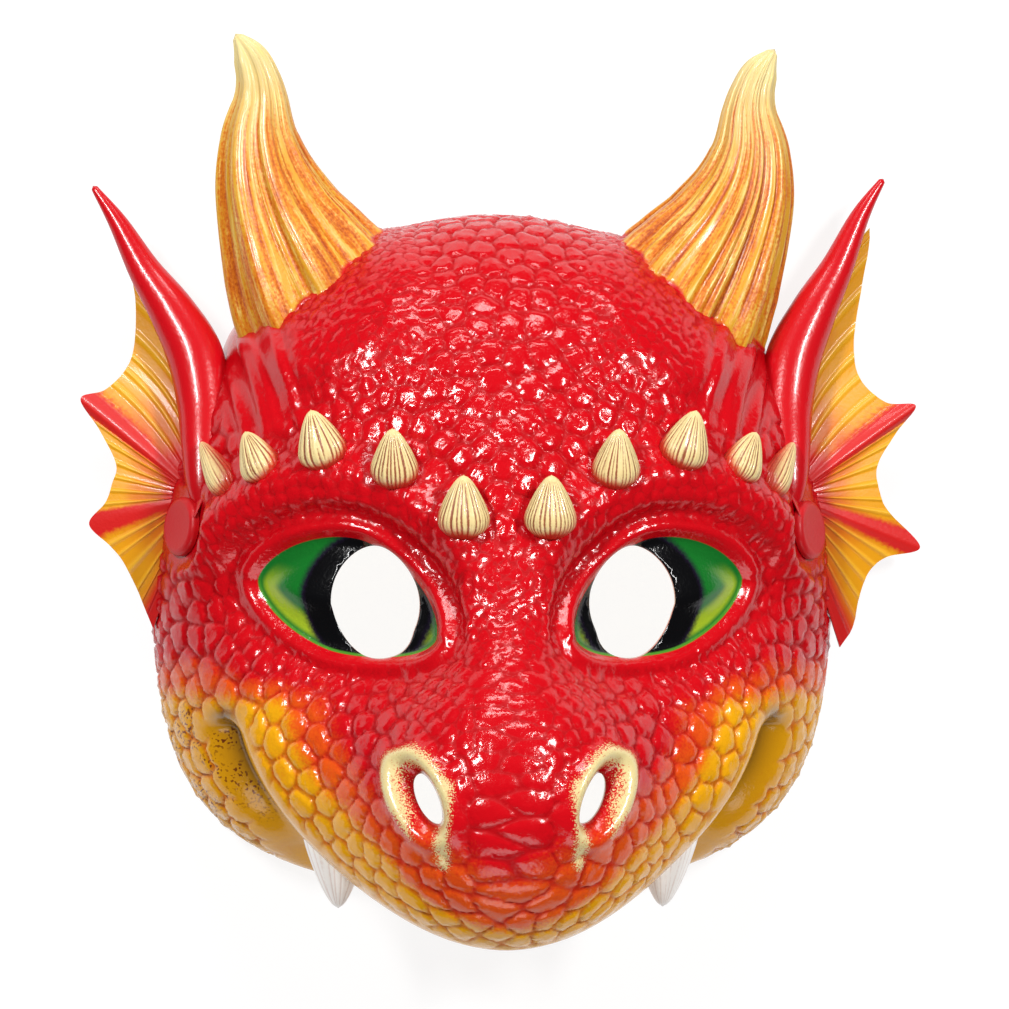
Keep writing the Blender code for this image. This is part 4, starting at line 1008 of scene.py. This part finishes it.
class Paint:
    """A painted finish put together from its piece's named values and noise."""

    def __init__(self, name, roughness, coat):
        self.material = bpy.data.materials.new(name)
        self.material.use_nodes = True
        self.tree = self.material.node_tree
        self.shader = self.tree.nodes["Principled BSDF"]
        self.place = self.tree.nodes.new("ShaderNodeTexCoord").outputs["Object"]
        self.give("Roughness", roughness)
        self.give("Coat Weight", coat)
        self.give("Coat Roughness", 0.08)
        self.give("Specular IOR Level", SPECULAR)

    def put(self, socket, source):
        """Sets a socket to a value or feeds it from another node."""
        if isinstance(source, (int, float, tuple)):
            socket.default_value = source
        else:
            self.tree.links.new(source, socket)

    def give(self, name, source):
        self.put(self.shader.inputs[name], source)

    def node(self, kind, output, inputs, **settings):
        """An output of a new node with these inputs and settings."""
        made = self.tree.nodes.new("ShaderNode" + kind)
        for key, value in settings.items():
            setattr(made, key, value)
        for key, source in inputs.items():
            self.put(made.inputs[key], source)
        return made.outputs[output]

    def named(self, name, output="Fac"):
        return self.node("Attribute", output, {}, attribute_name=name)

    def math(self, kind, a, b):
        return self.node("Math", 0, {0: a, 1: b}, operation=kind)

    def plus(self, a, b):
        return self.math("ADD", a, b)

    def less(self, a, b):
        return self.math("SUBTRACT", a, b)

    def times(self, a, b):
        return self.math("MULTIPLY", a, b)

    def uneven(self, source, noise, amount):
        """A value with some noise added, evenly up and down."""
        return self.plus(source, self.times(self.less(noise, 0.5), amount))

    def soft(self, source, low, high):
        """0 at low and 1 at high, smooth between."""
        inputs = {"Value": source, "From Min": min(low, high), "From Max": max(low, high),
                  "To Min": float(low > high), "To Max": float(low < high)}
        return self.node("MapRange", "Result", inputs, interpolation_type="SMOOTHSTEP")

    def mix(self, share, a, b):
        """From colour a to colour b; the node's colour sockets go by number."""
        return self.node("Mix", 2, {"Factor": share, 6: a, 7: b}, data_type="RGBA")

    def noise(self, scale, detail=2.0, place=None, roughness=0.5):
        place = self.place if place is None else place
        inputs = {"Vector": place, "Scale": scale, "Detail": detail, "Roughness": roughness}
        return self.node("TexNoise", 0, inputs)

    def finish(self, base, scale=1100.0, strength=0.22, distance=0.0003):
        """Gives the shader its colour and the fine unevenness of sprayed paint."""
        inputs = {"Strength": strength, "Distance": distance, "Height": self.noise(scale)}
        self.give("Normal", self.node("Bump", "Normal", inputs))
        self.give("Base Color", base)
        return self


SPECULAR = 0.32
SKIN_COAT = 0.22
RED = colour(188, 6, 18)
# darker red painted into the scale grooves of the red skin as painted shade
SHADED_GROOVE_RED = colour(150, 3, 10)
ORANGE = colour(212, 78, 18)
YELLOW = colour(222, 156, 14)
# brown painted into the mouth groove as painted shade under the lip
MOUTH_SHADE_BROWN = colour(78, 50, 22)
CREAM = colour(214, 196, 140)


def skin_paint():
    """Glossy red with orange and yellow sprayed along the jaw, painted eyes and pale nostrils, and painted
    shade in the scale grooves and the mouth groove.
    """
    paint = Paint("dragon_skin", 0.20, SKIN_COAT)
    spray = paint.noise(1400.0, 3.0)
    groove = paint.times(paint.soft(paint.named("tile"), 0.30, 0.05), paint.named("scaled"))
    # In the red, the grooves between the scales get a darker red as painted shade; in the orange and yellow,
    # redder grooves show the paint under the spray.
    red = paint.mix(paint.times(groove, 0.55), RED, SHADED_GROOVE_RED)
    jaw = paint.uneven(paint.uneven(paint.named("jaw"), paint.noise(60.0, 3.0), 0.5), spray, 0.35)
    orange = paint.mix(paint.soft(jaw, 0.15, 0.55), red, paint.mix(groove, ORANGE, colour(190, 40, 14)))
    yellow = paint.mix(paint.times(groove, 0.85), YELLOW, colour(196, 92, 14))
    base = paint.mix(paint.soft(jaw, 0.55, 0.98), orange, yellow)
    specks = paint.soft(paint.noise(1350.0, 0.0), 0.60, 0.65)
    specks = paint.times(specks, paint.soft(paint.noise(90.0, 1.0), 0.42, 0.54))
    base = paint.mix(paint.times(specks, paint.named("dots")), base, colour(120, 52, 12))
    # Painted shade in the mouth groove under the overhanging lip.
    base = paint.mix(paint.times(paint.named("mouth"), 0.85), base, MOUTH_SHADE_BROWN)
    base = paint.mix(paint.soft(paint.named("eye"), 0.15, -0.15), base, eye_colours(paint, spray))
    cream = paint.uneven(paint.named("cream"), paint.noise(2400.0, 1.0), 5.0)
    base = paint.mix(paint.soft(cream, 0.7, -0.7), base, CREAM)
    inner = paint.named("inside")
    base = paint.mix(inner, base, colour(236, 226, 205))
    rough = paint.plus(paint.times(paint.noise(500.0), 0.08), 0.13)
    rough = paint.plus(rough, paint.times(groove, 0.30))
    paint.give("Roughness", paint.plus(rough, paint.times(inner, 0.5)))
    paint.give("Specular IOR Level", paint.less(SPECULAR, paint.times(groove, 0.24)))
    paint.give("Coat Weight", paint.less(SKIN_COAT, paint.times(groove, 0.18)))
    return paint.finish(base, 1250.0, 0.24, 0.0004)


def eye_colours(paint, spray):
    """Green with a yellow-green band below, a black pupil edged with violet and a bright lower rim."""
    eye = paint.named("eye")
    eye_v = paint.named("eye_v")
    band = paint.times(paint.soft(eye, -7.0, -3.8), paint.soft(eye, -0.6, -2.2))
    band = paint.times(band, paint.soft(eye_v, 6.5, -2.5))
    green = paint.mix(band, colour(18, 104, 34), colour(150, 176, 38))
    pupil = paint.uneven(paint.named("pupil"), spray, 1.2)
    green = paint.mix(paint.soft(pupil, 2.4, 0.2), green, colour(26, 16, 38))
    green = paint.mix(paint.soft(pupil, 0.9, -0.5), green, colour(6, 6, 8))
    rim = paint.times(paint.soft(eye, -0.9, -0.4), paint.soft(eye_v, 3.0, -4.0))
    return paint.mix(rim, green, colour(70, 132, 38))


def horn_paint():
    """Pale at the tip and ochre at the root, with lengthwise orange and rusty streaks."""
    paint = Paint("dragon_horn", 0.34, 0.2)
    along = paint.named("along")
    grain = paint.named("grain", "Vector")
    to_tip = paint.soft(along, 0.45, 0.95)
    base = paint.mix(to_tip, colour(206, 150, 40), colour(212, 194, 138))
    pale = paint.soft(paint.noise(9.0, 4.0, grain, 0.6), 0.46, 0.66)
    base = paint.mix(paint.times(pale, 0.75), base, colour(226, 196, 112))
    tint = paint.times(paint.noise(2.2, 3.0, grain, 0.6), 0.5)
    tint = paint.plus(paint.noise(7.0, 5.0, grain, 0.7), tint)
    tint = paint.uneven(tint, paint.noise(1300.0), 0.45)
    tint = paint.less(tint, paint.plus(paint.times(to_tip, 0.40), 0.10))
    tint = paint.less(tint, paint.times(paint.named("lines"), 0.08))
    base = paint.mix(paint.times(paint.soft(tint, 0.52, 0.74), 0.85), base, colour(200, 96, 12))
    dark = paint.times(paint.soft(tint, 0.70, 0.90), paint.soft(along, 0.75, 0.35))
    base = paint.mix(paint.times(dark, 0.8), base, colour(150, 50, 10))
    return paint.finish(paint.mix(paint.named("collar"), base, RED))


def fin_paint():
    """Ochre web with paler rays, and red ribs, root and lower edge."""
    paint = Paint("dragon_fin", 0.42, 0.1)
    reach = paint.named("reach")
    outer = paint.soft(paint.plus(reach, paint.times(paint.noise(70.0, 3.0), 0.5)), 0.75, 1.15)
    base = paint.mix(outer, colour(196, 98, 8), colour(214, 146, 8))
    base = paint.mix(paint.times(paint.named("rays"), 0.45), base, colour(232, 184, 52))
    red = paint.soft(paint.uneven(paint.named("rib"), paint.noise(900.0, 3.0), 0.30), 0.48, 0.78)
    red = paint.math("MAXIMUM", red, paint.soft(paint.named("row"), 14.2, 15.4))
    red = paint.math("MAXIMUM", red, paint.soft(reach, 0.50, 0.30))
    return paint.finish(paint.mix(red, base, colour(196, 24, 22)))


def claw_paint(name, shade, line, blush=None):
    """Pale claw with darker paint in its grooves and, with a blush, red sprayed over its heel."""
    paint = Paint(name, 0.34, 0.2)
    spray = paint.noise(1500.0, 3.0)
    lines = paint.uneven(paint.named("groove"), spray, 0.6)
    base = paint.mix(paint.times(paint.soft(lines, 0.40, 0.95), 0.9), shade, line)
    if blush is not None:
        edge = paint.uneven(paint.named("over"), spray, 2.0)
        base = paint.mix(paint.soft(edge, 3.9, 0.9), base, blush)
    return paint.finish(base)


skin_look = skin_paint()
horn_look = horn_paint()
fin_look = fin_paint()
spar_look = Paint("dragon_spar", 0.26, 0.2).finish(colour(188, 8, 20))
spike_look = claw_paint("dragon_spike", colour(220, 198, 140), colour(128, 40, 22), colour(186, 50, 30))
fang_look = claw_paint("dragon_fang", colour(248, 243, 238), colour(228, 212, 204))
rivet_look = Paint("dragon_rivet", 0.42, 0.05).finish(colour(186, 10, 20))

piece("skin", *skin_mesh(), skin_look, "mask_shell")
for which, hand in ((-1, "left"), (1, "right")):
    piece("horn_" + hand, *horn_mesh(which), horn_look, "mask_shell")
    piece("spar_" + hand, *spar_mesh(which), spar_look, "mask_shell")
    piece("fin_" + hand, *fin_mesh(which), fin_look, "mask_shell", 50.0)
    piece("fang_" + hand, *fang_mesh(which), fang_look, "mask_shell")
    for number in range(len(SPIKES)):
        piece("spike_%s_%d" % (hand, number + 1), *spike_mesh(which, number), spike_look, "mask_shell")
    disc = lathe(rivet_profile(True), *SEATS[which], CAP_SIDES)
    piece("rivet_cap_" + hand, *disc, {}, rivet_look, "rivet_" + hand, 35.0)

# The studio, in metres: a glowing pale floor, soft boxes and a camera that looks down on the mask.
WHITE = (1.0, 1.0, 1.0, 1.0)
FLOOR_REACH = 3
FLOOR_GREY = 0.16
FLOOR_GLOW = 0.86
ROOM_LIGHT = 0.06
TARGET = np.array((0.9, 23.9, 45.0)) * MM + SHIFT
DISTANCE = 1.1
YAW = math.radians(3.0)
VIEW_WIDTH = 0.25225
FILM = 36.0

floor_mesh = bpy.data.meshes.new("floor")
floor_corners = [(x * FLOOR_REACH, y * FLOOR_REACH, 0) for x, y in ((-1, -1), (1, -1), (1, 1), (-1, 1))]
floor_mesh.from_pydata(floor_corners, [], [(0, 1, 2, 3)])
floor_look = bpy.data.materials.new("floor")
floor_look.use_nodes = True
for key, value in (("Base Color", (FLOOR_GREY, FLOOR_GREY, FLOOR_GREY, 1.0)), ("Roughness", 0.7),
                   ("Emission Color", WHITE), ("Emission Strength", FLOOR_GLOW)):
    floor_look.node_tree.nodes["Principled BSDF"].inputs[key].default_value = value
floor_mesh.materials.append(floor_look)
floor = bpy.data.objects.new("floor", floor_mesh)
bpy.context.collection.objects.link(floor)

scene = bpy.context.scene
scene.view_settings.view_transform = "Standard"
scene.world = bpy.data.worlds.new("studio")
scene.world.use_nodes = True
scene.world.node_tree.nodes["Background"].inputs["Color"].default_value = WHITE
scene.world.node_tree.nodes["Background"].inputs["Strength"].default_value = ROOM_LIGHT


def aimed(made, place, target, up=(0.0, 1.0, 0.0)):
    """Turns an object at a place so that it looks at the target."""
    back = (Vector(place) - Vector(target)).normalized()
    right = Vector(up).cross(back).normalized()
    over = back.cross(right)
    made.matrix_world = Matrix.Translation(place) @ Matrix((right, over, back)).transposed().to_4x4()
    bpy.context.collection.objects.link(made)


def softbox(name, place, size, power):
    lamp = bpy.data.lights.new(name, "AREA")
    lamp.shape = "RECTANGLE"
    lamp.size, lamp.size_y = size
    lamp.energy = power
    aimed(bpy.data.objects.new(name, lamp), place, TARGET)


softbox("key_left", (-0.50, 0.42, 0.9), (0.13, 0.22), 8.0)
softbox("key_right", (0.55, 0.36, 0.9), (0.13, 0.22), 8.0)
softbox("top_rim", (0.0, 1.0, 0.6), (0.6, 0.16), 5.0)
softbox("low_fill", (0.0, -1.0, 0.8), (0.8, 0.5), 4.0)

lens = bpy.data.cameras.new("camera")
lens.sensor_width = FILM
lens.lens = FILM * DISTANCE / VIEW_WIDTH
camera = bpy.data.objects.new("camera", lens)
aimed(camera, Vector(TARGET) + DISTANCE * Vector((-math.sin(YAW), 0.0, math.cos(YAW))), Vector(TARGET))
scene.camera = camera
